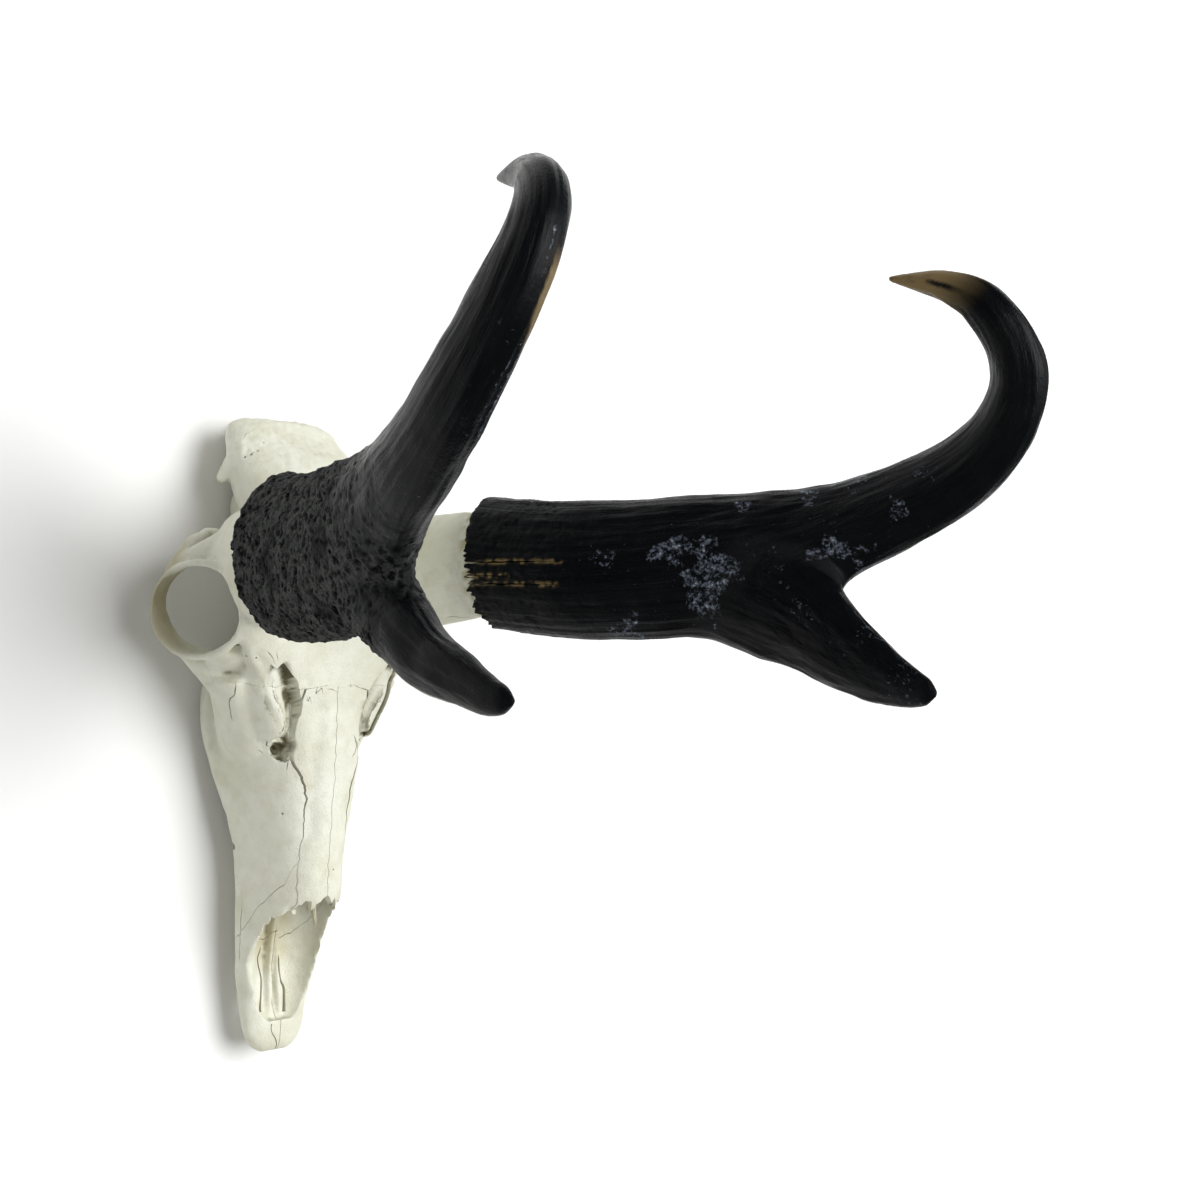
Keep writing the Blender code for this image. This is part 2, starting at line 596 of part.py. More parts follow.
def zygomatic_region(side):
    """The cheekbone and its arch, below and outside the orbit."""
    def region(grow):
        low = (43 - grow, 16 - grow, 10)
        high = (90, 84 + grow, 51 + grow)
        outline = [(side * low[0], low[1], 0), (side * high[0], low[1], 0),
                   (side * high[0], high[1], 0), (side * low[0], high[1], 0)]
        return prism("region", outline, (0, 0, low[2]), (0, 0, high[2]))
    return region


def core_plane(side):
    """Base of the bare core: its centre, its direction and the way to the sheath's base."""
    foot = np.array(mirrored(CORE_FOOT, side))
    base = np.array(mirrored(HORN_BASE, side))
    direction = (base - foot) / np.linalg.norm(base - foot)
    return foot, base, direction


def core_region(side):
    """The core beyond its root in the forehead."""
    def region(grow):
        foot, base, direction = core_plane(side)
        start = foot + direction * (PEDICEL_LENGTH - grow)
        return tube("region", [start, start + direction * 30, start + direction * 60],
                    [(0, 50), (1, 50)], [(0, 40), (1, 40)], steps=1, sides=12)
    return region


def horn_core(name, side):
    """The bony core between its root in the forehead and its end inside the sheath."""
    foot, base, direction = core_plane(side)
    start = foot + direction * (PEDICEL_LENGTH + GAP)
    end = base + direction * (SOCKET_DEPTH - GAP)
    middle = (start + end) / 2
    depth = [(0, CORE_HALF_DEPTH + 0.6), (1, CORE_HALF_DEPTH - 1.5)]
    thickness = [(0, CORE_HALF_THICKNESS + 0.6), (1, CORE_HALF_THICKNESS - 1.5)]
    return tube("horn_core_" + name, [start, middle, end], depth, thickness, steps=3, sides=28)


def build_horn(name, side):
    """One horn sheath: beam and prong fused, hollowed at its base and parted at its fork."""
    def at(points):
        return [mirrored(p, side) for p in points]

    horn = tube("horn_shaft_" + name, at(BEAM[name]), BEAM_DEPTH[name], BEAM_THICKNESS[name], steps=4, sides=28)
    prong = tube("prong", at(PRONG[name]), PRONG_DEPTH[name], PRONG_THICKNESS, steps=4, sides=20)
    web = tube("web", at(FORK_WEB), WEB_DEPTH, WEB_THICKNESS)
    boolean(horn, [prong, web], "UNION")
    blend(horn, voxel=2.0, rounds=4, faces=HORN_TRIANGLES)
    foot, base, direction = core_plane(side)
    socket = tube("socket", [base - direction * 8, base, base + direction * SOCKET_DEPTH],
                  [(0, CORE_HALF_DEPTH), (1, CORE_HALF_DEPTH - 0.6)],
                  [(0, CORE_HALF_THICKNESS), (1, CORE_HALF_THICKNESS - 0.6)], steps=2, sides=28)
    boolean(horn, [socket], "DIFFERENCE")
    boolean(horn, [rim_cutter(base, direction, side)], "DIFFERENCE")
    return horn


def rim_cutter(base, direction, side):
    """A disc under the sheath with a saw edge on its upper face, which leaves the rim ragged."""
    _, across, fore = (v[0] for v in frames(np.array([base, base + direction]), (side, 0, 0)))
    turns = np.linspace(0, 2 * math.pi, 2 * RIM_TEETH, endpoint=False)
    reach = np.cos(turns)[:, None] * across * 34 + np.sin(turns)[:, None] * fore * 44
    height = RIM_TOOTH * (0.4 + 0.6 * np.abs(np.sin(3.7 * turns + 1))) * (np.arange(2 * RIM_TEETH) % 2)
    lower = base + reach - direction * 14
    upper = base + reach + direction * height[:, None]
    inner = base + 0.35 * reach + direction * height[:, None]
    points = np.vstack([lower, upper, inner, [base - direction * 14, base]])
    n = 2 * RIM_TEETH
    faces = []
    for i in range(n):
        j = (i + 1) % n
        faces += [(i, j, n + j), (i, n + j, n + i), (n + i, n + j, 2 * n + j), (n + i, 2 * n + j, 2 * n + i),
                  (2 * n + i, 2 * n + j, 3 * n + 1), (3 * n, j, i)]
    return mesh_object("rim_cutter", points, faces)


def block_from(point, normal, size=140):
    """A box that starts at a plane through a point and reaches out along its normal."""
    def region(grow):
        start = np.array(point) - np.array(normal) * grow
        path = [start, start + np.array(normal) * size / 2, start + np.array(normal) * size]
        return tube("region", path, [(0, size), (1, size)], [(0, size), (1, size)], steps=1, sides=8)
    return region


def part_horn(horn, name, side):
    """Parts the prong and the hook from the shaft."""
    prong_normal = Vector((0.16 * side, -0.90, 0.40)).normalized()
    prong = take(horn, "horn_prong_" + name, block_from(mirrored((112, 12, 262), side), prong_normal, 100))
    hook_normal = Vector((0.36 * side, 0.22, 0.90)).normalized()
    hook = take(horn, "horn_hook_" + name, block_from(mirrored((130.5, 51, 279), side), hook_normal, 120))
    return [keep_largest(horn), prong, hook]


def main():
    bone = material("bone", BONE_COLOUR, 0.6)
    keratin = material("horn_keratin", HORN_COLOUR, 0.45)
    skull = build_skull()
    nodes = []
    for name, side in SIDES.items():
        boolean(skull, [core_region(side)(0.0)], "DIFFERENCE")
        nodes.append(horn_core(name, side))
    for name, side in SIDES.items():
        nodes.append(take(skull, "zygomatic_" + name, zygomatic_region(side)))
    for name, side in SIDES.items():
        nasal = take(skull, "nasal_" + name, nasal_region(side))
        boolean(nasal, nasal_notches(side), "DIFFERENCE")
        nodes.append(keep_largest(nasal))
    for name, side in SIDES.items():
        nodes.append(take(skull, "premaxilla_" + name, face_region(side, ((-96.5, 5), (-61, 62)))))
    for name, side in SIDES.items():
        maxilla = take(skull, "maxilla_" + name, face_region(side, ((40, 0), (6, 82))))
        boolean(maxilla, teeth(name, side), "UNION")
        boolean(maxilla, [table()], "DIFFERENCE")
        nodes.append(keep_largest(maxilla))
    nodes.append(keep_largest(skull))
    for node in nodes:
        finish(node, bone)
    for name, side in SIDES.items():
        horn = build_horn(name, side)
        for node in part_horn(horn, name, side):
            finish(node, keratin)


main()
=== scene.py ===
"""Looks of the pronghorn skull: dry bone and horn sheaths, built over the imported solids.

Everything is drawn in millimetres in the level skull: nose to -Y, the animal's left side +X, the nasion at
(0, 8, 75). settle() tips it back onto the table and turns it to metres.
"""

import itertools
import math

import bmesh
import bpy
import numpy as np
from mathutils import Matrix, Vector
from mathutils.bvhtree import BVHTree


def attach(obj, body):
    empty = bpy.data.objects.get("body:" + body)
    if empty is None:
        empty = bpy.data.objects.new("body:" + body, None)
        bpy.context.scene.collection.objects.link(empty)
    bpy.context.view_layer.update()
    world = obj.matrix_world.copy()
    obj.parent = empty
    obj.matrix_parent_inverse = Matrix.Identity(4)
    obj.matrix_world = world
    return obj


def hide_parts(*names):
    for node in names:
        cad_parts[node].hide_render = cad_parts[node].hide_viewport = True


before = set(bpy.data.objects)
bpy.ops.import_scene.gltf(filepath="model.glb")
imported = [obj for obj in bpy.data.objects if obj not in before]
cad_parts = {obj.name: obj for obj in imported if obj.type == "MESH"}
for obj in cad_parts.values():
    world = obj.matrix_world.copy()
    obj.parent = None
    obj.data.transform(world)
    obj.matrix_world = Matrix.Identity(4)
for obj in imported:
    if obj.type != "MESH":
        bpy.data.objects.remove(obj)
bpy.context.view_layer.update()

MM = 0.001
SIDES = {"left": 1, "right": -1}
SIDE_NAMES = {1: "left", -1: "right"}
REST_TILT = math.radians(8.6)
REST_SHIFT_Y, REST_SHIFT_Z = -23.7, -9.5
BONE_VOXEL, HORN_VOXEL = ((0.85, 0.85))
SHARP_ANGLE = math.radians(48)
BODY_POWER, SOCKET_POWER, BRAINCASE_KEEL = 0.86, 0.84, 1.45
# Seams between the bones
HAIRLINE, CORE_SEAM, NASAL_SEAM, PREMAXILLA_SEAM = 0.14, 0.06, 0.55, 0.3
MIDLINE_GAP = 0.05
COURSE_POINTS = 240


def curve_through(rows, count):
    """Catmull-Rom curve through rows of numbers, read at evenly spaced places along the rows."""
    rows = np.asarray(rows, float)
    place = np.linspace(0, len(rows) - 1, count)
    padded = np.vstack([2 * rows[0] - rows[1], rows, 2 * rows[-1] - rows[-2]])
    first = np.clip(np.floor(place).astype(int), 0, len(rows) - 2)
    t = (place - first)[:, None]
    a, b, c, d = (padded[first + k] for k in range(4))
    return 0.5 * (2 * b + (c - a) * t + (2 * a - 5 * b + 4 * c - d) * t**2 + (3 * b - a - 3 * c + d) * t**3)


def by_fraction(pairs, fraction):
    """A width along a length, from (fraction, width) pairs."""
    at, value = np.transpose(pairs)
    return np.interp(fraction, at, value)


def run_length(path):
    """Distance run along a path, at each of its points."""
    return np.concatenate([[0], np.cumsum(np.linalg.norm(np.diff(path, axis=0), axis=1))])


def full_turn(count):
    """Evenly spaced angles round a full turn."""
    return np.linspace(0, 2 * math.pi, count, endpoint=False)


def superellipse(turn, power):
    """Cosine and sine of an angle, each raised to a power with its sign kept."""
    return tuple(np.sign(part) * np.abs(part) ** power for part in (np.cos(turn), np.sin(turn)))


def ease(low, high, value):
    """Smooth step from 0 at low to 1 at high."""
    t = np.clip((value - low) / (high - low), 0, 1)
    return t * t * (3 - 2 * t)


def lattice(cell, seed):
    """A repeatable random number from 0 to 1 for each whole-number cell (x, y, z)."""
    x, y, z = (cell[..., k].astype(np.int64) for k in range(3))
    mixed = (x * 73856093) ^ (y * 19349663) ^ (z * 83492791) ^ (seed * 50331653)
    mixed = ((mixed ^ (mixed >> 13)) * 1274126177) & 0x7FFFFFFFFFFF
    mixed = ((mixed ^ (mixed >> 17)) * 668265263) & 0x7FFFFFFFFFFF
    return ((mixed ^ (mixed >> 15)) & 0xFFFFF) / 1048575.0


def noise(points, seed=0):
    """Value noise from -1 to 1: the random numbers at a cell's eight corners, blended smoothly across it."""
    cell = np.floor(points)
    part = points - cell
    part = part * part * (3 - 2 * part)
    total = 0
    for corner in itertools.product((0, 1), repeat=3):
        weight = np.prod(np.where(corner, part, 1 - part), axis=-1)
        total = total + weight * lattice(cell + corner, seed)
    return 2 * total - 1


def rough_noise(points, octaves, seed=0):
    """Noise summed over octaves, each half the size and half the height of the last."""
    return sum(noise(points * 2.03**k, seed + 7 * k) * 0.5**k for k in range(octaves))


def pit_cells(points, seed=0):
    """For each point: distance to the nearest of one random spot per cell, and that spot's own random number."""
    cell = np.floor(points)
    nearest = np.full(len(points), 9.0)
    own = np.zeros(len(points))
    for shift in itertools.product((-1, 0, 1), repeat=3):
        there = cell + shift
        spot = there + np.stack([lattice(there, seed + k) for k in (1, 2, 3)], axis=-1)
        distance = np.linalg.norm(points - spot, axis=1)
        closer = distance < nearest
        nearest = np.where(closer, distance, nearest)
        own = np.where(closer, lattice(there, seed + 4), own)
    return nearest, own


def to_line(points, line):
    """Distance of each point from a polyline."""
    line = np.asarray(line, float)
    best = np.full(len(points), 1e9)
    for a, b in zip(line[:-1], line[1:]):
        along = b - a
        t = np.clip((points - a) @ along / (along @ along), 0, 1)
        best = np.minimum(best, np.linalg.norm(points - a - t[:, None] * along, axis=1))
    return best


def closed_object(name, points, faces):
    """A mesh object with its faces turned outwards."""
    mesh = bpy.data.meshes.new(name)
    mesh.from_pydata(np.asarray(points, float).tolist(), [], faces)
    work = bmesh.new()
    work.from_mesh(mesh)
    bmesh.ops.recalc_face_normals(work, faces=work.faces)
    work.to_mesh(mesh)
    work.free()
    made = bpy.data.objects.new(name, mesh)
    bpy.context.collection.objects.link(made)
    return made


def skin(name, rings):
    """A closed surface over a grid of rings: quads cut in two between rings, and a fan to a pole at each end."""
    rings = np.asarray(rings, float)
    count, sides = rings.shape[:2]
    i, j = (a.ravel() for a in np.indices((count - 1, sides)))
    k = (j + 1) % sides
    one, two, three, four = i * sides + j, i * sides + k, (i + 1) * sides + k, (i + 1) * sides + j
    side = np.arange(sides)
    last = (count - 1) * sides
    poles = count * sides
    faces = np.vstack([
        np.stack([one, two, three], axis=1), np.stack([one, three, four], axis=1),
        np.stack([side, np.full(sides, poles), (side + 1) % sides], axis=1),
        np.stack([last + side, last + (side + 1) % sides, np.full(sides, poles + 1)], axis=1)])
    points = np.vstack([rings.reshape(-1, 3), [rings[0].mean(0)], [rings[-1].mean(0)]])
    return closed_object(name, points, faces.tolist())


def body(name, stations, sides=72, keel=BODY_POWER):
    """Rounded sections along Y: superellipses from a half width, a widest level, a top and a bottom."""
    rows = curve_through(stations, 8 * (len(stations) - 1) + 1)
    turn = full_turn(sides)
    across, upward = superellipse(turn, np.where(np.sin(turn) > 0, BODY_POWER, keel))
    y, width, level, top, bottom = (rows[:, k, None] for k in range(5))
    height = np.where(upward > 0, top - level, level - bottom)
    return skin(name, np.stack([width * across, y + 0 * across, level + height * upward], axis=2))


def path_frame(path, across):
    """A path's tangents, the across direction made square to them, and the third direction."""
    tangent = np.gradient(path, axis=0)
    tangent /= np.linalg.norm(tangent, axis=1)[:, None]
    side = across - tangent * (tangent @ np.asarray(across, float))[:, None]
    side /= np.linalg.norm(side, axis=1)[:, None]
    return tangent, side, np.cross(tangent, side)


def tube(name, points, depth, thickness, across=(1, 0, 0), steps=8, sides=32):
    """An ellipse carried along a smooth path, its two half widths given along the length."""
    path = curve_through(points, steps * (len(points) - 1) + 1)
    length = run_length(path)
    fraction = length / length[-1]
    _, side, other = path_frame(path, across)
    turn = full_turn(sides)
    a = by_fraction(thickness, fraction)[:, None, None] * np.cos(turn)[None, :, None]
    b = by_fraction(depth, fraction)[:, None, None] * np.sin(turn)[None, :, None]
    return skin(name, path[:, None] + a * side[:, None] + b * other[:, None])


def lump(name, centre, radii):
    """An ellipsoid of rings from pole to pole."""
    rise = np.linspace(-1, 1, 18)[1:-1, None] * math.pi / 2
    turn = full_turn(28)[None, :]
    unit = np.stack([np.cos(rise) * np.cos(turn), np.cos(rise) * np.sin(turn), np.sin(rise) + 0 * turn], axis=2)
    return skin(name, unit * radii + centre)


def prism(name, outline, low, high):
    """An outline of points swept from one offset to another."""
    outline = np.asarray(outline, float)
    return skin(name, np.stack([outline + low, outline + high]))


def mirrored(points, side):
    """Points of the left side, carried to the side asked for."""
    return np.asarray(points, float) * (side, 1, 1)


def bake(target):
    """Turns an object's modifiers into its own mesh."""
    bpy.context.view_layer.update()
    evaluated = target.evaluated_get(bpy.context.evaluated_depsgraph_get())
    made = bpy.data.meshes.new_from_object(evaluated)
    target.modifiers.clear()
    target.data = made
    return target


def boolean(target, others, operation):
    """Joins, cuts or intersects an object with a group of closed ones, which are used up."""
    group = bpy.data.collections.new("tools")
    for other in others:
        group.objects.link(other)
    step = target.modifiers.new("boolean", "BOOLEAN")
    step.operation = operation
    step.solver = "MANIFOLD"
    step.operand_type = "COLLECTION"
    step.collection = group
    bake(target)
    for other in others:
        bpy.data.objects.remove(other, do_unlink=True)
    bpy.data.collections.remove(group)
    return target


def melt(target, voxel, rounds):
    """An even remesh, then a smoothing pass that softens the creases."""
    remesh = target.modifiers.new("remesh", "REMESH")
    remesh.mode = "VOXEL"
    remesh.voxel_size = voxel
    relax = target.modifiers.new("relax", "SMOOTH")
    relax.factor = 0.5
    relax.iterations = rounds
    return bake(target)


def read(target):
    """A mesh's points and vertex normals as arrays."""
    count = len(target.data.vertices)
    points, normals = np.empty(count * 3, np.float32), np.empty(count * 3, np.float32)
    target.data.vertices.foreach_get("co", points)
    target.data.vertex_normals.foreach_get("vector", normals)
    return points.reshape(-1, 3).astype(float), normals.reshape(-1, 3).astype(float)


def move(target, points):
    """Puts points back into a mesh."""
    target.data.vertices.foreach_set("co", np.asarray(points, np.float32).ravel())
    target.data.update()
    return target


def paint(target, name, values):
    """Stores one number per vertex for the materials to read."""
    layer = target.data.attributes.new(name, "FLOAT", "POINT")
    layer.data.foreach_set("value", np.clip(values, 0, 1).astype(np.float32))


def edge_ends(target):
    """The numbers of the two vertices of each edge, as two arrays."""
    edges = np.empty(len(target.data.edges) * 2, np.int32)
    target.data.edges.foreach_get("vertices", edges)
    return edges.reshape(-1, 2).T


def neighbours(values, a, b):
    """For each vertex: the sum of its neighbours' values, and how many neighbours it has."""
    total = np.stack([np.bincount(a, column[b], len(values)) + np.bincount(b, column[a], len(values))
                      for column in values.T], axis=1)
    return total, np.bincount(np.concatenate([a, b]), minlength=len(values))[:, None]


def hollowness(target, rounds):
    """How deep each vertex lies in a hollow, in mm: the way to its neighbours' mean after some rounds, along its
    normal. It is negative on ridges."""
    points, normals = read(target)
    a, b = edge_ends(target)
    mean = points
    for _ in range(rounds):
        total, near = neighbours(mean, a, b)
        mean = 0.4 * mean + 0.6 * total / np.maximum(near, 1)
    return np.einsum("ij,ij->i", mean - points, normals)


def soften(target, rounds, share):
    """Draws each vertex towards its neighbours' mean, by its own share, for some rounds: creases fill and round off."""
    points, _ = read(target)
    a, b = edge_ends(target)
    for _ in range(rounds):
        total, near = neighbours(points, a, b)
        points = points + 0.6 * share[:, None] / np.maximum(near, 1) * (total - near * points)
    return move(target, points)


def largest(target):
    """Keeps only the largest connected surface."""
    a, b = edge_ends(target)
    label = np.arange(len(target.data.vertices))
    while True:
        low = np.minimum(label[a], label[b])
        fresh = label.copy()
        np.minimum.at(fresh, a, low)
        np.minimum.at(fresh, b, low)
        fresh = fresh[fresh]
        if (fresh == label).all():
            break
        label = fresh
    keep = np.bincount(label).argmax()
    work = bmesh.new()
    work.from_mesh(target.data)
    bmesh.ops.delete(work, geom=[v for v, mark in zip(work.verts, label) if mark != keep], context="VERTS")
    work.to_mesh(target.data)
    work.free()
    return target


def duplicate(source, name):
    """A copy of a piece with a mesh of its own."""
    made = source.copy()
    made.data = source.data.copy()
    made.name = name
    bpy.context.collection.objects.link(made)
    return made


def settle(target, material, nodes):
    """Tips a finished piece back onto the table, turns it to metres and hands it to the frame."""
    points, _ = read(target)
    x, y, z = points.T
    ahead = y * math.cos(REST_TILT) + z * math.sin(REST_TILT) + REST_SHIFT_Y
    above = z * math.cos(REST_TILT) - y * math.sin(REST_TILT) + REST_SHIFT_Z
    move(target, np.stack([x, ahead, np.maximum(above, 0)], axis=1) * MM)
    target.data.materials.clear()
    target.data.materials.append(material)
    target.data.shade_smooth()
    target.data.set_sharp_from_angle(angle=SHARP_ANGLE)
    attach(target, "root")
    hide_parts(*nodes)


def linear(code):
    """An sRGB hex colour as linear red, green, blue and alpha."""
    channel = np.array([int(code[k:k + 2], 16) for k in (1, 3, 5)]) / 255
    value = np.where(channel <= 0.04045, channel / 12.92, ((channel + 0.055) / 1.055) ** 2.4)
    return (*value.tolist(), 1.0)


def add(material, kind, settings=None, links=None):
    """Adds a node with its settings and its input links, and returns it."""
    node = material.node_tree.nodes.new(kind)
    for key, value in (settings or {}).items():
        if isinstance(key, int) or key in node.inputs:
            node.inputs[key].default_value = value
        else:
            setattr(node, key, value)
    for key, source in (links or {}).items():
        material.node_tree.links.new(source, node.inputs[key])
    return node


def start(name, roughness, ior):
    """A new material, its shader and its Object coordinates."""
    material = bpy.data.materials.new(name)
    material.use_nodes = True
    shader = material.node_tree.nodes["Principled BSDF"]
    shader.inputs["Roughness"].default_value = roughness
    shader.inputs["IOR"].default_value = ior
    place = add(material, "ShaderNodeTexCoord").outputs["Object"]
    return material, shader, place


def mix(material, factor, one, two, blend="MIX"):
    """Blends two colours, each a hex code or a node's output."""
    node = add(material, "ShaderNodeMix", {"data_type": "RGBA", "blend_type": blend})
    for index, value in ((0, factor), (6, one), (7, two)):
        if isinstance(value, str):
            node.inputs[index].default_value = linear(value)
        elif isinstance(value, float):
            node.inputs[index].default_value = value
        else:
            material.node_tree.links.new(value, node.inputs[index])
    return node.outputs[2]


def ramp(material, source, low, high, to_low=0.0, to_high=1.0):
    """A value stretched from one range to another, without going outside it."""
    node = add(material, "ShaderNodeMapRange",
               {"From Min": low, "From Max": high, "To Min": to_low, "To Max": to_high}, {"Value": source})
    return node.outputs["Result"]


def cloud(material, place, scale, detail=3.0, roughness=0.5):
    """A noise texture on the given coordinates, with so many bumps to their unit."""
    return add(material, "ShaderNodeTexNoise", {"Scale": scale, "Detail": detail, "Roughness": roughness},
               {"Vector": place})


def stored(material, name, output="Fac"):
    """A value that the mesh holds at each vertex."""
    return add(material, "ShaderNodeAttribute", {"attribute_name": name}).outputs[output]


def bump(material, strength, distance, links, invert=False):
    """A bump of a height in metres, over the normal that it is linked to."""
    settings = {"Strength": strength, "Distance": distance, "invert": invert}
    return add(material, "ShaderNodeBump", settings, links).outputs["Normal"]


def wire(material, shader, links):
    """Links colour, roughness and normal to the shader."""
    for key, source in links.items():
        material.node_tree.links.new(source, shader.inputs[key])


def dry_bone():
    """Dry bone, cleaned and whitened: chalky, cream where oil stays, olive-brown in pores, with olive-brown painted
    shade in cracks, hollows and recesses.
    """
    material, shader, place = start("dry_bone", 0.62, 1.53)
    # Patches of oil and dust, about 25 mm across, and cloudy mottling, about 5 mm
    patches = cloud(material, place, 40.0).outputs["Fac"]
    mottle = cloud(material, place, 210.0, 4.0, 0.6).outputs["Fac"]
    # Open pores, about 0.9 mm apart, drawn a little coarser than real ones so that they show
    pores = add(material, "ShaderNodeTexVoronoi", {"Scale": 1150.0}, {"Vector": place}).outputs["Distance"]
    grain = cloud(material, place, 900.0).outputs["Fac"]
    colour = mix(material, ramp(material, patches, 0.35, 0.68), "#e4e4d6", "#d8d8c4")
    colour = mix(material, ramp(material, mottle, 0.5, 0.78, 0.0, 0.35), colour, "#c8c5ac")
    # Stains along the sutures and round the cores, and painted shade inside the nose and on the cheek arch's lower
    # outer face
    colour = mix(material, stored(material, "stain_and_shade"), colour, "#a89c72")
    # Painted shade: olive-brown in hollows, creases, the gap's edges and under the nasal tips
    colour = mix(material, stored(material, "hollow"), colour, "#5f583a")
    colour = mix(material, ramp(material, pores, 0.05, 0.3, 0.35, 0.0), colour, "#b9b397")
    pored = bump(material, 0.35, 0.0005, {"Height": ramp(material, pores, 0.0, 0.35)})
    normal = bump(material, 0.5, 0.0004, {"Height": grain, "Normal": pored})
    roughness = ramp(material, mottle, 0.3, 0.8, 0.52, 0.74)
    wire(material, shader, {"Base Color": colour, "Roughness": roughness, "Normal": normal})
    return material


def horn_keratin():
    """Horn sheath, grown and weathered: blue-black and glossy along its fibres, matt charcoal between the pits of its
    base, the pits darkened as painted shade, flecked with pale scuffs, amber where it is thin at the tips; on the right
    sheath, painted sheen streaks and a painted amber glow on the face turned to the light."""
    material, shader, place = start("horn_keratin", 0.3, 1.55)
    shader.inputs["Specular IOR Level"].default_value = 0.09
    base, amber, pit, scuff_and_sheen = (stored(material, name) for name in ("base", "amber", "pit", "scuff_and_sheen"))
    # Fibres about 0.6 mm wide and 12 mm long run with the horn; the course is in mm, its length already drawn out
    course = stored(material, "course", "Vector")
    fibres = cloud(material, course, 1.6, 5.0, 0.6).outputs["Fac"]
    bands = cloud(material, course, 0.28).outputs["Fac"]
    # Pits 1 to 3 mm across in the base: cells of wandering space, thinned out by a slower noise, darkened as painted
    # shade; grain about 0.9 mm
    wander = cloud(material, place, 420.0, 3.0, 0.6).outputs["Color"]
    shifted = add(material, "ShaderNodeVectorMath", {"operation": "MULTIPLY_ADD", 1: (0.0034, 0.0034, 0.0034)},
                  {0: wander, 2: place}).outputs[0]
    cells = add(material, "ShaderNodeTexVoronoi", {"Scale": 280.0, "Randomness": 1.0}, {"Vector": shifted})
    thinned = cloud(material, place, 120.0).outputs["Fac"]
    own = add(material, "ShaderNodeMath", {"operation": "MULTIPLY_ADD", 1: -0.9},
              {0: thinned, 2: cells.outputs["Distance"]}).outputs[0]
    blots = ramp(material, own, -0.12, -0.08, 1.0, 0.0)
    grain = cloud(material, place, 1100.0, 3.0, 0.6).outputs["Fac"]
    clouds = cloud(material, place, 70.0).outputs["Fac"]
    colour = mix(material, ramp(material, bands, 0.4, 0.66), "#010203", "#030508")
    colour = mix(material, ramp(material, fibres, 0.5, 0.72, 0.0, 0.5), colour, "#0c1117")
    charcoal = mix(material, ramp(material, grain, 0.35, 0.65), "#202221", "#464846")
    charcoal = mix(material, ramp(material, clouds, 0.5, 0.68), charcoal, "#0e0f11")
    colour = mix(material, ramp(material, base, 0.35, 0.95), colour, charcoal)
    # Painted shade: the small pits of the base turn near black
    pit_shade_mask = add(material, "ShaderNodeMath", {"operation": "MULTIPLY"},
               {0: ramp(material, base, 0.1, 0.6), 1: blots}).outputs[0]
    colour = mix(material, pit_shade_mask, colour, "#020203")
    # Scuffs, and on the right sheath painted sheen streaks: ragged flakes 1 to 3 mm across, denser where the attribute
    # is high
    flakes = cloud(material, place, 420.0, 6.0, 0.74).outputs["Fac"]
    raised = add(material, "ShaderNodeMath", {"operation": "MULTIPLY_ADD", 1: 0.22}, {0: scuff_and_sheen, 2: flakes}).outputs[0]
    colour = mix(material, ramp(material, raised, 0.70, 0.80, 0.0, 0.85), colour, "#5d6470")
    colour = mix(material, ramp(material, raised, 0.83, 0.88), colour, "#a9adb2")
    # Amber of thin horn at the left sheath's tip and frayed rim; on the right sheath, a painted amber glow on the face
    # turned to the light
    colour = mix(material, amber, colour, "#8a7650")
    # Painted shade: near black in the carved pits and hollows of the base
    colour = mix(material, pit, colour, "#030304")
    fibred = bump(material, 0.5, 0.0006, {"Height": fibres})
    pitted = bump(material, 0.9, 0.001, {"Height": pit_shade_mask, "Normal": fibred}, invert=True)
    normal = bump(material, 0.4, 0.0003, {"Height": grain, "Normal": pitted})
    roughness = ramp(material, base, 0.0, 1.0, 0.23, 0.72)
    wire(material, shader, {"Base Color": colour, "Roughness": roughness, "Normal": normal})
    return material


# Sections along Y: y, half width, height of the widest level, top, bottom
FACE = [(-149, 7.5, 4, 6.8, 1.4), (-145.5, 12.6, 4, 9.5, 0.2), (-138, 16.6, 4.8, 11.5, 0), (-126, 18.2, 6.5, 15.5, 0.4),
        (-112, 19.6, 9, 26, 2.2), (-97, 20.8, 12, 40.5, 5.2), (-82, 21.2, 14.5, 53, 8), (-65, 21.9, 17, 57.5, 10.6),
        (-50, 24.4, 20, 61.5, 14), (-33, 28.6, 23, 66, 18), (-14, 31.8, 26, 70.5, 20), (6, 33.6, 31, 74.5, 21),
        (26, 32, 38, 79, 24), (40, 22, 46, 82, 36)]
FOREHEAD = [(-6, 20, 62, 71, 50), (10, 34, 66, 76, 50), (26, 49, 75, 82, 62), (40, 57, 82, 88, 73),
            (55, 58.5, 83, 92, 73), (69, 55, 81, 93, 68), (82, 42, 75, 92, 60), (92, 32, 70, 89, 50)]
SPHENOID = [(22, 12, 55, 76, 40), (36, 9.5, 56, 84, 38), (52, 10, 54, 86, 36), (66, 15, 50, 86, 33),
            (84, 22, 46, 84, 28)]
BRAINCASE = [(56, 12, 66, 86, 46), (68, 23.5, 66, 90, 40), (82, 29.8, 64, 90, 33), (98, 32.4, 60, 85.5, 28),
             (113, 33.2, 55, 77, 26), (126, 31.2, 52, 66, 27), (134, 28.8, 50, 61.5, 30),
             (138.3, 23.5, 48.5, 56.5, 34)]
PALATINE = [(18, 13, 30, 46, 19), (34, 11.5, 30, 48, 17.5), (50, 9, 33, 48, 22), (64, 6.5, 38, 48, 32)]
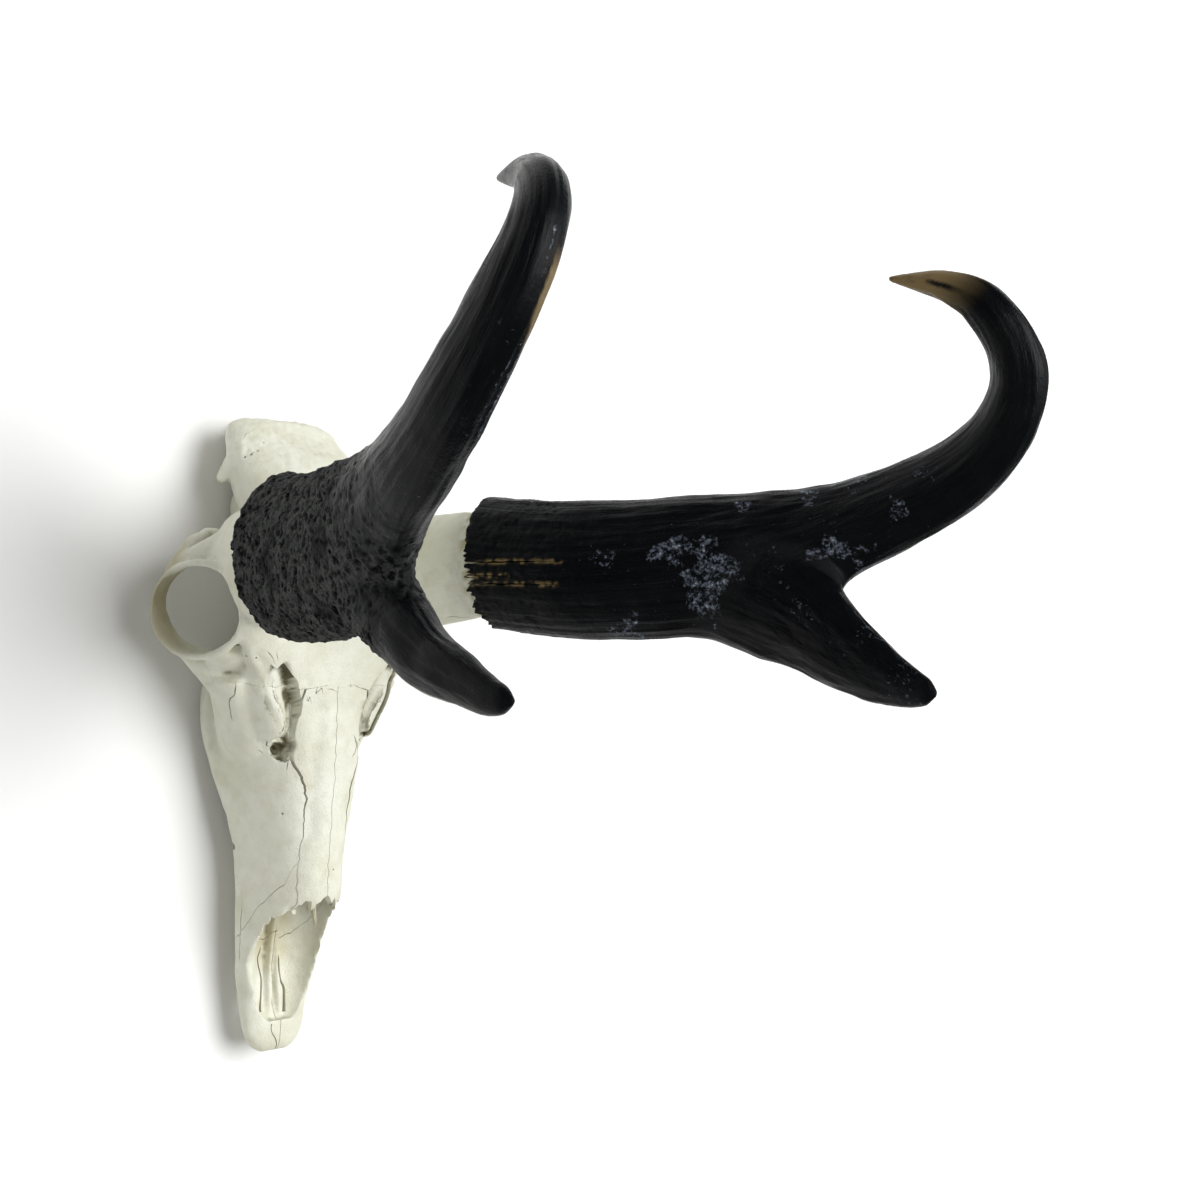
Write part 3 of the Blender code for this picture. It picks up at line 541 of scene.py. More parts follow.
CAVITY = [(-135, 8, 15, 30, 8.5), (-130, 12.5, 17, 34, 7), (-124, 15.6, 19.5, 40, 6.2), (-112, 17.2, 24, 50, 6.6),
          (-98, 18.2, 27, 58, 8.6), (-92.5, 18, 27.5, 60, 10), (-88.5, 17.8, 28, 47.5, 12),
          (-81.5, 17.4, 28, 48.5, 13.5), (-62, 17, 32, 53, 17), (-44, 13, 36, 53, 22), (-34, 7, 40, 48, 32)]
# Upper edge of the open nose's walls: (y, z); the right wall is broken lower
NOSE_RIM = {"left": [(-81.5, 54), (-84, 42), (-93, 35.5), (-101.6, 29), (-110.5, 22.5), (-119, 16), (-127, 14.5)],
            "right": [(-81.5, 54), (-84.3, 43.5), (-87.7, 40.5), (-91.6, 33), (-97, 25), (-105.5, 17), (-111, 15.4),
                      (-119, 14.6), (-127, 14.5)]}
# Broken front edge of the nasal bones, from the midline outwards: (distance from the midline, y)
NASAL_EDGE = {"left": [(-1, -81.2), (1.6, -81.7), (3, -83.4), (4.6, -85.1), (5.6, -83), (7.2, -84.6), (8.4, -86.2),
                       (9.6, -83.4), (11.2, -85.2), (12.6, -83.2), (16, -84)],
              "right": [(-1, -81.2), (0.6, -81.6), (2.4, -83.6), (4.2, -84.6), (5.8, -87.4), (6.8, -83.6),
                        (9.3, -82.4), (10.6, -84.6), (11.6, -84), (13.2, -87.2), (14.2, -84.6), (16, -83.5)]}
NASAL_TIP_HALF_WIDTH = 12.6
# Slits through the palate: x, y and half width along each
SLITS = {"left": [(4.6, -105.5, 0.2), (5, -108, 0.45), (5.3, -116.6, 0.5), (6.8, -121.4, 0.6), (6.3, -127, 0.7),
                  (4.9, -132, 0.9)],
         "right": [(5.2, -101.5, 0.2), (6.4, -104, 0.4), (7.7, -107, 0.5), (5.6, -115.4, 0.55), (6.6, -124, 0.7),
                   (9, -130.5, 1.1)]}
# Nasal bones: y, half width, height of their underside on the midline
NASALS = [(-90, 12.4, 47.5), (-81, 12.7, 49.5), (-65, 12.6, 53), (-50, 12, 56.5), (-37, 12.2, 59.5), (-29, 14.4, 61.5),
          (-21, 18, 63.5), (-8, 18.6, 66), (4, 18.4, 68.5), (10, 17.5, 70)]

# Thin bone close below the gap before the orbit: its course, half depth and half width
PLATE = [(33, 25, 69), (32, 17, 67.5), (29, 9, 63.8), (24.6, 0, 60.8), (22.6, -7, 58.2), (21.6, -10.5, 54)]
PLATE_DEPTH = [(0, 6), (0.8, 6), (1, 3)]
PLATE_WIDTH = [(0, 8.4), (0.3, 8), (0.6, 6.4), (0.85, 4), (1, 2.2)]
# Edge of that gap, seen from above, sunk to the plate; the wider outline cut through the thin bone above the plate;
# and the deep hole at the gap's front end
VACUITY = [(30, 22, 84), (34, 16, 84), (33, 13, 84), (28, 7, 84), (22.5, 0, 84), (21.3, -7, 84), (23.6, -11.5, 84),
           (23.2, -16, 84), (19.4, -20, 84), (17.2, -16, 84), (18, -10, 84), (18.6, -4, 84), (17.8, 1, 84),
           (21.5, 10, 84), (26, 17, 84)]
WINDOW = [(30.5, 24, 84), (35.5, 23, 84), (37, 17, 84), (36, 11, 84), (33.4, 4, 84), (29, -3, 84), (25.2, -9, 84),
          (24.4, -12, 84), (23.2, -16.4, 84), (19.4, -20.6, 84), (16.8, -16, 84), (17.6, -10, 84), (18.2, -4, 84),
          (17.4, 1, 84), (21, 10, 84), (25.5, 17, 84)]
LACRIMAL_HOLE = [(20.2, -13.5, 68), (21, -14.2, 60), (22, -15, 50), (22.5, -15.5, 42)]
ORBIT_CENTRE = np.array([61.5, 46.5, 61.2])
ORBIT_HALF_LENGTH, ORBIT_HALF_HEIGHT = 18.5, 22.6
ORBIT_LEAN, ORBIT_TURN = math.radians(14), math.radians(12)
# Eye socket: offset along its axis, size as a share of its rim
SOCKET_PROFILE = [(14, 1.08), (0, 1.0), (-12, 1.04), (-24, 0.92), (-34, 0.55)]
# Rear edges of the premaxillae and of the maxillae: (y, z)
PREMAXILLA_EDGE = [(-112, -20), (-100, 5), (-94, 15), (-80, 34), (-74, 45), (-64, 52), (-61, 58), (-25, 120)]
MAXILLA_EDGE = [(48, -20), (40, 0), (6, 82), (-10, 120)]
# Paired bars of the premaxillae in the floor of the nose, and the broken front edge of its midline plate: (z, y)
NOSE_BAR = [(3.0, -134, 6.4), (2.6, -126, 7.2), (2.0, -112, 8.2), (1.3, -100, 10.4), (0.7, -90, 13.4), (0.6, -78, 18)]
SEPTUM_EDGE = [(24, -68), (36, -80), (39.5, -85.5), (43.3, -95.5), (46, -87), (51, -84)]

# Cheek teeth, front to back: length along the row, half width across it
TEETH = [(8, 3.6), (9.5, 4.4), (10.5, 5.2), (12, 6), (13.5, 6.4), (14.5, 5.8)]
TOOTH_ROW_START, TOOTH_ROW_END = np.array([16.6, -48]), np.array([22.4, 24])
CROWN_Z = 12.3
# One tooth: height, and share of its size there, over the neck and into the grinding face
TOOTH_PROFILE = [(25, 0.95), (20, 0.97), (CROWN_Z + 4, 1.0), (CROWN_Z + 1.2, 0.97), (CROWN_Z + 0.2, 0.86),
                 (CROWN_Z + 0.5, 0.6), (CROWN_Z + 1.0, 0.42), (CROWN_Z + 0.3, 0.25), (CROWN_Z + 0.9, 0.08)]

# Horns, each drawn as a left one: centre lines, half depths and half thicknesses at fractions of their lengths
HORN_BASE = (56.3, 60.1, 117.7)
BEAM = {
    "left": [(56.3, 61.6, 117.7), (67.2, 53.4, 147.3), (83, 47, 179.6), (101.7, 44.1, 214.9), (119.8, 46, 250.8),
             (134, 52.4, 283), (144, 61.4, 313.5), (147.6, 72.6, 335), (146.8, 88, 350), (141.4, 102.6, 356.6),
             (134.4, 116.4, 356), (127.4, 128.4, 350.5), (119.9, 137.6, 338.5), (112.6, 145, 319.1)],
    "right": [HORN_BASE, (67.2, 52.5, 147.3), (83, 47, 179.6), (101.2, 43, 215.6), (119, 44.7, 251.4),
              (132.8, 51.8, 283.2), (142.2, 62, 312), (146.2, 74.5, 333), (145.4, 90.5, 349),
              (141.2, 105.5, 357), (134.9, 118.8, 357.5), (127.4, 129.8, 351), (119.9, 138.3, 338.5),
              (112.6, 145, 319.1)]}
BEAM_DEPTH = {
    "left": [(0, 30), (0.14, 31), (0.30, 31.5), (0.40, 27), (0.50, 20.6), (0.62, 16.6), (0.75, 13.4), (0.82, 11.2),
             (0.88, 9.6), (0.93, 6.6), (0.97, 3.6), (1, 1.2)],
    "right": [(0, 34), (0.14, 33.7), (0.30, 32.6), (0.40, 26.2), (0.50, 18.6), (0.62, 14.6), (0.75, 12.4),
              (0.82, 11), (0.88, 9.6), (0.93, 6.6), (0.97, 3.6), (1, 1.2)]}
BEAM_THICKNESS = {
    "left": [(0, 21), (0.14, 19), (0.30, 16), (0.42, 13.5), (0.55, 11.8), (0.70, 10.8), (0.80, 9.6), (0.88, 8.4),
             (0.93, 6.2), (0.97, 3.5), (1, 1.2)],
    "right": [(0, 24), (0.14, 21), (0.30, 16.6), (0.42, 13.5), (0.55, 11.4), (0.70, 10.4), (0.80, 9.6), (0.88, 8.4),
              (0.93, 6.2), (0.97, 3.5), (1, 1.2)]}
# The right prong springs lower on its beam
PRONG = {
    "left": [(82, 45, 178), (92, 42, 198), (103, 30, 226), (112.5, 15, 250), (117, -3, 268), (119.8, -16.5, 284),
             (121.2, -24.5, 298), (121.4, -28.5, 309.5)],
    "right": [(80, 44, 168), (92, 38.5, 196.5), (103.4, 26.6, 223), (112.9, 10.8, 246.4), (117.3, -6.2, 265.4),
              (120, -16.8, 283.7), (121.2, -24.8, 297.6), (121.4, -28.5, 309.5)]}
PRONG_DEPTH = {
    "left": [(0, 28), (0.12, 28.5), (0.22, 26.5), (0.32, 24.5), (0.48, 25.5), (0.64, 19.5), (0.81, 13.5), (0.92, 8.8),
             (0.97, 6), (1, 1)],
    "right": [(0, 25), (0.2, 24.5), (0.38, 18.5), (0.5, 16), (0.6, 13.8), (0.71, 12), (0.83, 9.2), (0.92, 7.2),
              (0.97, 5.2), (1, 1)]}
PRONG_THICKNESS = [(0, 8), (0.22, 11), (0.45, 12), (0.62, 10), (0.8, 7), (0.92, 4.8), (0.97, 3.4), (1, 0.8)]
# Web that fills the fork between beam and prong
FORK_WEB = {"left": [(104, 39, 222), (112, 34, 241), (119, 30.5, 257), (125, 28.5, 269)],
            "right": [(104, 39, 222), (111, 34.5, 238), (116.5, 31, 250), (121.5, 29.5, 260)]}
WEB_DEPTH = [(0, 14), (0.4, 14.5), (0.7, 12.5), (1, 7.5)]
WEB_THICKNESS = [(0, 12), (0.4, 10.5), (0.7, 8.5), (1, 5.5)]
# Splits from the left sheath's rim into its wall: start, middle and end, and half width
SPLITS = [(((38.5, 58.8, 124), (43.5, 56.6, 140), (49, 54.6, 153), (55.5, 52, 168)), 0.45),
          (((39, 49.2, 124), (43, 47.2, 137), (48.5, 44.8, 150), (55, 42, 165)), 0.42),
          (((39, 52.8, 124), (42, 51.4, 134), (45.5, 49.4, 144)), 0.28)]
# Direction toward the light: the right sheath's face that looks this way gets painted sheen streaks and a painted amber
# glow
SHEEN_SIDE = np.array([0.683, -0.113, 0.722])
CORE_FOOT = np.array([45.0, 62.0, 82.0])
CORE_HALF_DEPTH, CORE_HALF_THICKNESS = 25.0, 15.0
PEDICEL_LENGTH, SOCKET_DEPTH = 16.0, 14.0


def orbit_axes(side):
    """The orbit's outward, forward and upward directions."""
    outward = np.array([math.cos(ORBIT_LEAN) * math.cos(ORBIT_TURN), -math.sin(ORBIT_TURN), math.sin(ORBIT_LEAN)])
    outward /= np.linalg.norm(outward)
    upward = np.array([0, 0, 1]) - outward * outward[2]
    upward /= np.linalg.norm(upward)
    return tuple(v * (side, 1, 1) for v in (outward, np.cross(upward, outward), upward))


def orbit_ring(side):
    """The orbit's raised rim: an oval band whose small oval section is carried round the orbit's ellipse."""
    outward, forward, upward = orbit_axes(side)
    turn, section = full_turn(120), full_turn(16)
    reach = (np.cos(turn)[:, None] * forward * (ORBIT_HALF_LENGTH + 2.0)
             + np.sin(turn)[:, None] * upward * (ORBIT_HALF_HEIGHT + 2.0))
    unit = reach / np.linalg.norm(reach, axis=1)[:, None]
    points = (ORBIT_CENTRE * (side, 1, 1) + reach)[:, None] + unit[:, None] * (1.7 * np.cos(section))[None, :, None]
    points = points + outward * (3.2 * np.sin(section))[None, :, None]
    i, j = (a.ravel() for a in np.indices((120, 16)))
    a, b = (i + 1) % 120, (j + 1) % 16
    faces = np.stack([i * 16 + j, i * 16 + b, a * 16 + b, a * 16 + j], axis=1)
    return closed_object("ring", points.reshape(-1, 3), faces.tolist())


def side_shapes(side):
    """Cheek, arch, bars, crest, tooth sockets, bulla, condyle and the foot of the horn core on one side."""
    def along(points, depth, thickness, **more):
        return tube("shape", mirrored(points, side), depth, thickness, **more)

    return [
        orbit_ring(side),
        along(((14, -36, 34), (23, -12, 38), (33, 8, 44), (44, 22, 52)), [(0, 12), (0.5, 16), (1, 13)],
              [(0, 8), (0.5, 11), (1, 8)]),
        along(((38, 12, 48), (49, 25, 46), (58, 37, 40)), [(0, 9), (0.5, 7), (1, 5)], [(0, 8), (0.5, 6), (1, 4)]),
        lump("lacrimal", mirrored((46.5, 26, 58), side), (8.5, 5.5, 12)),
        along(((22, -8, 57), (31, 9, 59), (41, 24, 58)), [(0, 9), (0.5, 13), (1, 12)], [(0, 8), (0.6, 7), (1, 4)]),
        along(((55, 34, 40), (62.5, 49, 37.5), (63, 62, 41.5), (60, 72, 49), (54, 79.5, 55), (46, 80.5, 54),
               (36, 80, 51), (24, 82, 50)),
              [(0, 4.6), (0.3, 3.8), (0.6, 4.2), (0.8, 5), (1, 7)], [(0, 3.2), (0.3, 2.2), (0.6, 2.6), (1, 4)]),
        along(((46, 72, 82), (53, 72, 74), (58.5, 71, 64), (61.5, 70, 55), (62.5, 66, 47)),
              [(0, 10), (0.35, 8), (0.7, 4.4), (1, 3.4)], [(0, 4), (0.4, 2.4), (1, 2)]),
        along(((21, 122, 54), (30, 114, 51), (35.5, 108.5, 47.5)), [(0, 8), (0.6, 5.5), (1, 2)],
              [(0, 7), (0.6, 4.5), (1, 1.6)]),
        along(((18, -52, 24), (24, -32, 22.5), (29, -8, 21.5), (29.5, 14, 22), (26, 28, 27)),
              [(0, 5), (0.3, 6), (1, 6)], [(0, 4), (0.3, 5.5), (0.8, 6), (1, 5)]),
        lump("bulla", mirrored((12, 98, 34), side), (6.5, 12, 7)),
        lump("condyle", mirrored((10.5, 134, 36), side), (6.5, 8, 8)),
        along(((42, 62, 74), (45, 62, 84), (50, 61.5, 97), (55, 60.5, 113)),
              [(0, 27), (0.4, CORE_HALF_DEPTH + 1.5), (1, CORE_HALF_DEPTH)],
              [(0, 18), (0.4, CORE_HALF_THICKNESS + 1), (1, CORE_HALF_THICKNESS)]),
        core(side),
    ]


def core_line(side):
    """Foot and base of the bare core and its direction."""
    foot, base = CORE_FOOT * (side, 1, 1), np.array(HORN_BASE) * (side, 1, 1)
    return foot, base, (base - foot) / np.linalg.norm(base - foot)


def core(side):
    """The bony core from the forehead to its end inside the sheath."""
    foot, base, way = core_line(side)
    start, end = foot + way * (PEDICEL_LENGTH - 4), base + way * (SOCKET_DEPTH - 0.5)
    return tube("core", [start, (start + end) / 2, end], [(0, CORE_HALF_DEPTH + 0.6), (1, CORE_HALF_DEPTH - 1.2)],
                [(0, CORE_HALF_THICKNESS + 0.6), (1, CORE_HALF_THICKNESS - 1.2)], sides=64)


def openings(side):
    """What is hollow on one side: the eye socket, the gap before it and all above the wall of the open nose."""
    outward, forward, upward = orbit_axes(side)
    across, rise = superellipse(full_turn(72)[:, None], SOCKET_POWER)
    oval = across * forward * ORBIT_HALF_LENGTH + rise * upward * ORBIT_HALF_HEIGHT
    depth = curve_through(SOCKET_PROFILE, 25)
    rings = ORBIT_CENTRE * (side, 1, 1) + depth[:, 0, None, None] * outward + depth[:, 1, None, None] * oval
    gap = prism("vacuity", ragged_outline(VACUITY, side), (0, 0, 0), (side * 2.0, -1.0, -31))
    boolean(gap, [tube("plate", mirrored(PLATE, side), PLATE_DEPTH, PLATE_WIDTH, across=(1, 0.2, 0))], "DIFFERENCE")
    return [skin("socket", rings), gap, *nose_rim(side)]


def palate_slit(side):
    """The long slit through the palate: a band along named places, swept upwards."""
    x, y, half = curve_through(SLITS[SIDE_NAMES[side]], 40).T
    slit = np.vstack([np.stack([x - half, y, 0 * x], axis=1), np.stack([x + half, y, 0 * x], axis=1)[::-1]])
    return prism("slit", mirrored(slit, side), (0, 0, -5), (0, 0, 30))


def ragged_outline(places, side):
    """A hole's ragged edge, seen from above: a closed curve through named points, with a fine wander."""
    outline = mirrored(places, side)
    rough = curve_through(np.vstack([outline, outline[:1]]), 131)[:-1]
    rough[:, :2] += 0.45 * np.stack([noise(rough * 0.8, 5), noise(rough * 0.8, 6)], axis=1)
    return rough


def sunk(source, depth):
    """A copy of a surface, drawn inwards along its normals."""
    made = duplicate(source, "sunk")
    points, normals = read(made)
    return move(made, points - normals * depth)


def nose_rim(side):
    """What lies above the open nose's wall on one side: a ragged outline of (y, z) swept out from the midline."""
    y, z = curve_through(NOSE_RIM[SIDE_NAMES[side]], 90).T
    z = z + ragged(np.stack([0 * y + side * 9, y, z], axis=1), 2.4, 0.35, 141)
    outline = np.vstack([np.stack([0 * y, y, z], axis=1), [(0, -127, 75), (0, -89.5, 75), (0, -89.5, 56)]])
    # Beside the nasal bones' tips only the walls go; ahead of them everything above the walls goes
    ahead = outline * (1, 0, 1)
    ahead[:, 1] = np.minimum(outline[:, 1], -89)
    return [prism("nose_rim", outline, (side * NASAL_TIP_HALF_WIDTH, 0, 0), (side * 40, 0, 0)),
            prism("nose_rim", ahead, (-side * 0.4, 0, 0), (side * 40, 0, 0))]


def table_cut():
    """What lies below the table, in the level skull's millimetres: a slab whose top is the table's plane."""
    corners = np.array([(-90, -200), (90, -200), (90, 200), (-90, 200.0)])
    height = (corners[:, 1] * math.sin(REST_TILT) - REST_SHIFT_Z) / math.cos(REST_TILT)
    return prism("table", np.column_stack([corners, height]), (0, 0, 0), (0, 0, -60))


# Raised lines and grooves, alike on both sides: height, width and course
RELIEF = {
    "nuchal crest": (1.0, 1.7, [(30, 116, 60), (30, 126, 60), (26, 133, 61), (14, 136, 61.5), (0, 136.5, 61.5)]),
    "temporal line": (0.55, 1.9, [(18, 133, 62), (12, 126, 67), (14, 116, 75), (19, 106, 81), (27, 95, 85)]),
    "brow groove": (-0.9, 2.6, [(44, 24, 77), (36, 14, 74), (30, 4, 72)]),
    "nasal groove": (-1.1, 4.2, [(8.5, 0, 72), (10, -17, 68), (10.5, -32, 64), (10, -52, 59)]),
    "facial bump": (0.8, 7, [(24, -40, 31), (26, -34, 32)]),
    "cheek ridge": (0.8, 3, [(29, -14, 42), (36, 4, 47), (45, 19, 50)]),
}


def emboss(points, height, width, line):
    """Height that fades as a bell curve with the distance from a line or, if that is nearer, its mirror image."""
    line = np.asarray(line, float)
    distance = np.minimum(to_line(points, line), to_line(points, line * (-1, 1, 1)))
    return height * np.exp(-(distance / width) ** 2)


def carve_skull(skull):
    """Moves the surface along its normals: broad unevenness, the lines and grooves of muscle and vessel, bone grain."""
    points, normals = read(skull)
    out = 0.5 * rough_noise(points / 19, 3, 11) + 0.14 * rough_noise(points / 4.2, 3, 23)
    out += sum(emboss(points, *feature) for feature in RELIEF.values())
    # A rough patch where the neck's muscles held, behind the temporal lines and over the nape
    nape = ease(100, 124, points[:, 1]) * ease(40, 60, points[:, 2])
    out += nape * 0.35 * rough_noise(points / 2.6, 2, 41)
    return move(skull, points + normals * out[:, None])


def ragged(points, reach, amount, seed):
    """A sideways wander for suture lines, in mm: saw-like near reach, with slower bends."""
    return amount * (noise(points / reach, seed) + 0.55 * noise(points / (reach * 0.37), seed + 3))


def nasal_region(side):
    """The space of one nasal bone: a band along the midline with ragged outer and rear edges."""
    def region(grow):
        rows = curve_through(NASALS, 132)
        y, outer, under = rows.T
        rail = np.stack([0 * y, y, 0 * y + side * 9], axis=1)
        outer = outer + ragged(rail, 3.2, 0.5, 51) * ease(-20, -30, y) + grow * (0.55 + 1.6 * ease(-58, -26, y))
        share = np.linspace(0, 1, 24)
        middle = MIDLINE_GAP - 0.45 * grow + side * 0.8 * noise(np.stack([y / 3.4, 0 * y, 0 * y + 4.5], axis=1), 55)
        x = middle[:, None] + share[None, :] * (outer - middle)[:, None]
        rear = ragged(np.stack([share * 18, 0 * share, 0 * share + side * 5], axis=1), 2.2, 1.6, 61)
        rear = rear + 1.5 - 5 * (share - 0.35) ** 2
        ahead = y[:, None] + ease(2, 10, y)[:, None] * (rear[None, :] + 0.04 * grow)
        low = under[:, None] - grow - 4.5 * share[None, :] ** 2.2
        roof = np.stack([side * x[:, ::-1], ahead[:, ::-1], 0 * x + 90], axis=2)
        floor = np.stack([side * x, ahead, low], axis=2)
        return skin("region", np.concatenate([floor, roof], axis=1))
    return region


def wall_region(side, line, seed):
    """Everything ahead of a ragged wall that follows a line of (y, z) points, on one side of the midline."""
    def region(grow):
        level = np.linspace(-20, 120, 150)
        ahead = np.interp(level, [z for _, z in line], [y for y, _ in line])
        x = np.linspace(MIDLINE_GAP - grow, 85, 90)
        spots = np.stack(np.broadcast_arrays(side * x[None, :], 0 * level[:, None], level[:, None]), axis=2)
        wall = ahead[:, None] + ragged(spots, 3.0, 0.7, seed) + grow
        rings = np.stack([side * x + 0 * wall, wall, level[:, None] + 0 * wall], axis=2)
        front = rings[:, [-1, 0]] * (1, 0, 1) + (0, -175, 0)
        return skin("region", np.concatenate([rings, front], axis=1))
    return region


def cheek_region(side):
    """The cheekbone and its arch: a block with ragged faces, below and outside the orbit."""
    def region(grow):
        made = bmesh.new()
        bmesh.ops.create_cube(made, size=1.0)
        bmesh.ops.subdivide_edges(made, edges=made.edges, cuts=40, use_grid_fill=True)
        bmesh.ops.triangulate(made, faces=made.faces)
        points = np.array([v.co for v in made.verts]) + 0.5
        faces = [[v.index for v in f.verts] for f in made.faces]
        made.free()
        low, high = np.array([43, 16, 6.0]), np.array([92, 84, 51.0])
        spots = low + points * (high - low)
        wander = np.stack([ragged(spots, 3.0, 0.6, 71 + k) for k in range(3)], axis=1)
        spots = spots + wander + (2 * points - 1) * grow
        return closed_object("region", spots * (side, 1, 1), faces)
    return region


def core_region(side):
    """The core beyond its root in the forehead, up to the sheath's mouth and on."""
    def region(grow):
        foot, _, way = core_line(side)
        start = foot + way * (PEDICEL_LENGTH - grow)
        return tube("region", [start, start + way * 30, start + way * 60], [(0, 50), (1, 50)], [(0, 40), (1, 40)],
                    steps=2, sides=24)
    return region


def take(source, name, region, gap):
    """Parts what lies in a region from a source, with a fine gap between the two."""
    part = duplicate(source, name)
    boolean(part, [region(0.0)], "INTERSECT")
    boolean(source, [region(gap)], "DIFFERENCE")
    return largest(part)


def surface_tree(target):
    """A search tree that finds the nearest place on a surface."""
    return BVHTree.FromPolygons([v.co for v in target.data.vertices], [p.vertices for p in target.data.polygons])


def cracks(tree):
    """Thin wedges along crooked courses that lie on the surface, with a point every 0.9 mm or so."""
    made = []
    for number, (width, depth, wander, course) in enumerate(CRACKS):
        path = curve_through(course, max(6, int(run_length(course)[-1] / 0.9)))
        shift = np.stack([ragged(path, 2.4, wander, 81 + 5 * number + k) for k in range(3)], axis=1)
        found = [tree.find_nearest(Vector(p)) for p in path + shift]
        spot = np.array([f[0] for f in found])
        out = np.array([f[1] for f in found])
        tangent = np.gradient(spot, axis=0)
        across = np.cross(tangent, out)
        across /= np.maximum(np.linalg.norm(across, axis=1), 1e-6)[:, None]
        taper = np.minimum(1, np.minimum(np.arange(len(spot)), np.arange(len(spot))[::-1]) / 3 + 0.12)
        half = (0.5 * width * taper * (1 + 0.4 * noise(path / 1.7, 9)))[:, None]
        down = (depth * taper)[:, None]
        rings = np.stack([spot + out * 0.8 + across * half * 1.6, spot - out * 0.2 + across * half,
                          spot - out * down, spot - out * 0.2 - across * half,
                          spot + out * 0.8 - across * half * 1.6], axis=1)
        made.append(skin("crack", rings))
    return made


def vessel_holes(tree):
    """Small round holes where vessels leave the bone: cones sunk aslant of the surface's normal."""
    made = []
    for x, y, z, radius in HOLES:
        spot, out, _, _ = tree.find_nearest(Vector((x, y, z)))
        spot, out = np.array(spot), np.array(out)
        slant = out + (0, 0.35, 0)
        slant /= np.linalg.norm(slant)
        made.append(tube("hole", [spot + out * 0.8, spot - slant * radius, spot - slant * 3 * radius],
                         [(0, 1.3 * radius), (0.4, radius), (1, 0.5 * radius)],
                         [(0, 1.15 * radius), (0.4, 0.85 * radius), (1, 0.4 * radius)], across=(0.2, 1, 0.1),
                         steps=3, sides=14))
    return made


# Cracks as they run on the real one: width, depth, wander, rough course
CRACKS = [
    (0.55, 0.9, 0.3, [(-45, 15, 61), (-44, 10, 58), (-45, 8, 55), (-42, 5, 51), (-40, 2, 49), (-39, -1, 48)]),
    (0.4, 0.8, 0.2, [(-33, 12, 75), (-31, 4, 73), (-28, -1, 70)]),
    (0.6, 1.2, 0.4, [(-24, -16, 56), (-26, -13, 54), (-29, -10, 58)]),
    (0.4, 0.8, 0.4, [(-27, -16, 52), (-29, -14, 51)]),
    (0.6, 1.4, 0.3, [(-20, -19, 60), (-20, -22, 60), (-20, -25, 59)]),
    (0.5, 1.0, 0.3, [(-19, -21, 61), (-17, -25, 62)]),
    (0.4, 0.7, 0.5, [(-12, 11, 76), (-12, 7, 75), (-10, 10, 75), (-9, 7, 75)]),
    (0.35, 0.7, 0.5, [(-7, 9, 76), (-4, 9, 76), (0, 8, 75)]),
    (0.35, 0.6, 0.5, [(-17, 7, 73), (-16, 4, 73), (-15, 6, 74), (-14, 3, 73)]),
    (0.35, 0.7, 0.3, [(-41, 26, 79), (-38, 24, 78), (-35, 20, 77)]),
    (0.35, 0.7, 0.3, [(-36, 26, 80), (-34, 21, 78)]),
    (0.9, 3.0, 0.5, [(12, -11, 68), (15, -15, 66), (17, -18, 64)]),
    (0.8, 2.4, 0.5, [(16, -14, 66), (12, -21, 66)]),
    (0.35, 0.5, 0.5, [(-32, 126, 60), (-28, 129, 62), (-21, 132, 61)]),
    (0.35, 0.9, 0.3, [(-21, -81, 19), (-20, -97, 15), (-20, -106, 12)]),
    (0.45, 1.1, 0.4, [(60, 45, 104), (62, 54, 110), (60, 64, 112)]),
    (0.4, 1.0, 0.4, [(48, 43, 100), (53, 41, 112)]),
    (0.5, 1.6, 0.25, [(-4.4, -133.7, 10), (-5, -139, 10), (-1.6, -145, 9), (-1.4, -149, 6)]),
]
# Holes for vessels and nerves: place and radius
HOLES = [(45, 24, 76, 0.8), (-48, 24, 73, 0.7), (-51, 27, 72, 0.5), (-44, 23, 76, 0.5), (34, 28, 80, 0.6),
         (19, -43, 52, 0.6), (-19, -43, 52, 0.6), (3, -70, 56, 0.5), (20.5, -54, 19, 1.8), (-20.5, -54, 19, 1.8),
         (-31, 117, 63, 0.7), (-29, 118, 65, 0.9), (-26, 120, 66, 0.7), (-27.6, 119.4, 65.4, 0.5),
         (-21, 124, 65, 0.5), (-18, 117, 72, 0.4), (30, 112, 64, 0.7), (9, -30, 19, 1.2), (-9, -30, 19, 1.2)]


def teeth(side):
    """Six cheek teeth: each a two-lobed column that narrows at its neck, its grinding face ridged by crescents."""
    made = []
    lengths = np.array([length for length, _ in TEETH])
    middles = (np.cumsum(lengths) - lengths / 2) / lengths.sum()
    turn = full_turn(64)
    bulge = 1 - 0.153 * np.exp(-(np.cos(turn) ** 2 - 1) ** 2 * 30)
    lobes = (0.95 + 0.1 * np.abs(np.sin(2 * turn)))[:, None]
    levels = curve_through(TOOTH_PROFILE, 34)
    for middle, (length, half) in zip(middles, TEETH):
        x, y = TOOTH_ROW_START + middle * (TOOTH_ROW_END - TOOTH_ROW_START)
        x += 1.6 * math.sin(math.pi * middle)
        ring = lobes * np.stack([half * np.cos(turn) * bulge, 0.5 * (length - 0.25) * np.sin(turn)], axis=1)
        rings = np.empty((len(levels), len(turn), 3))
        rings[:, :, :2] = ring * levels[:, 1, None, None] + (x, y)
        rings[:, :, 2] = levels[:, 0, None]
        made.append(skin("tooth", mirrored(rings, side)))
    return made


def nose_bars():
    """The paired inner bars of the premaxillae, along the floor of the open nose."""
    return [tube("bar", mirrored(NOSE_BAR, side), [(0, 1.8), (0.3, 2.6), (0.8, 2.2), (1, 1.4)],
                 [(0, 1.8), (0.5, 1.3), (0.8, 0.8), (1, 0.6)], sides=20) for side in SIDES.values()]


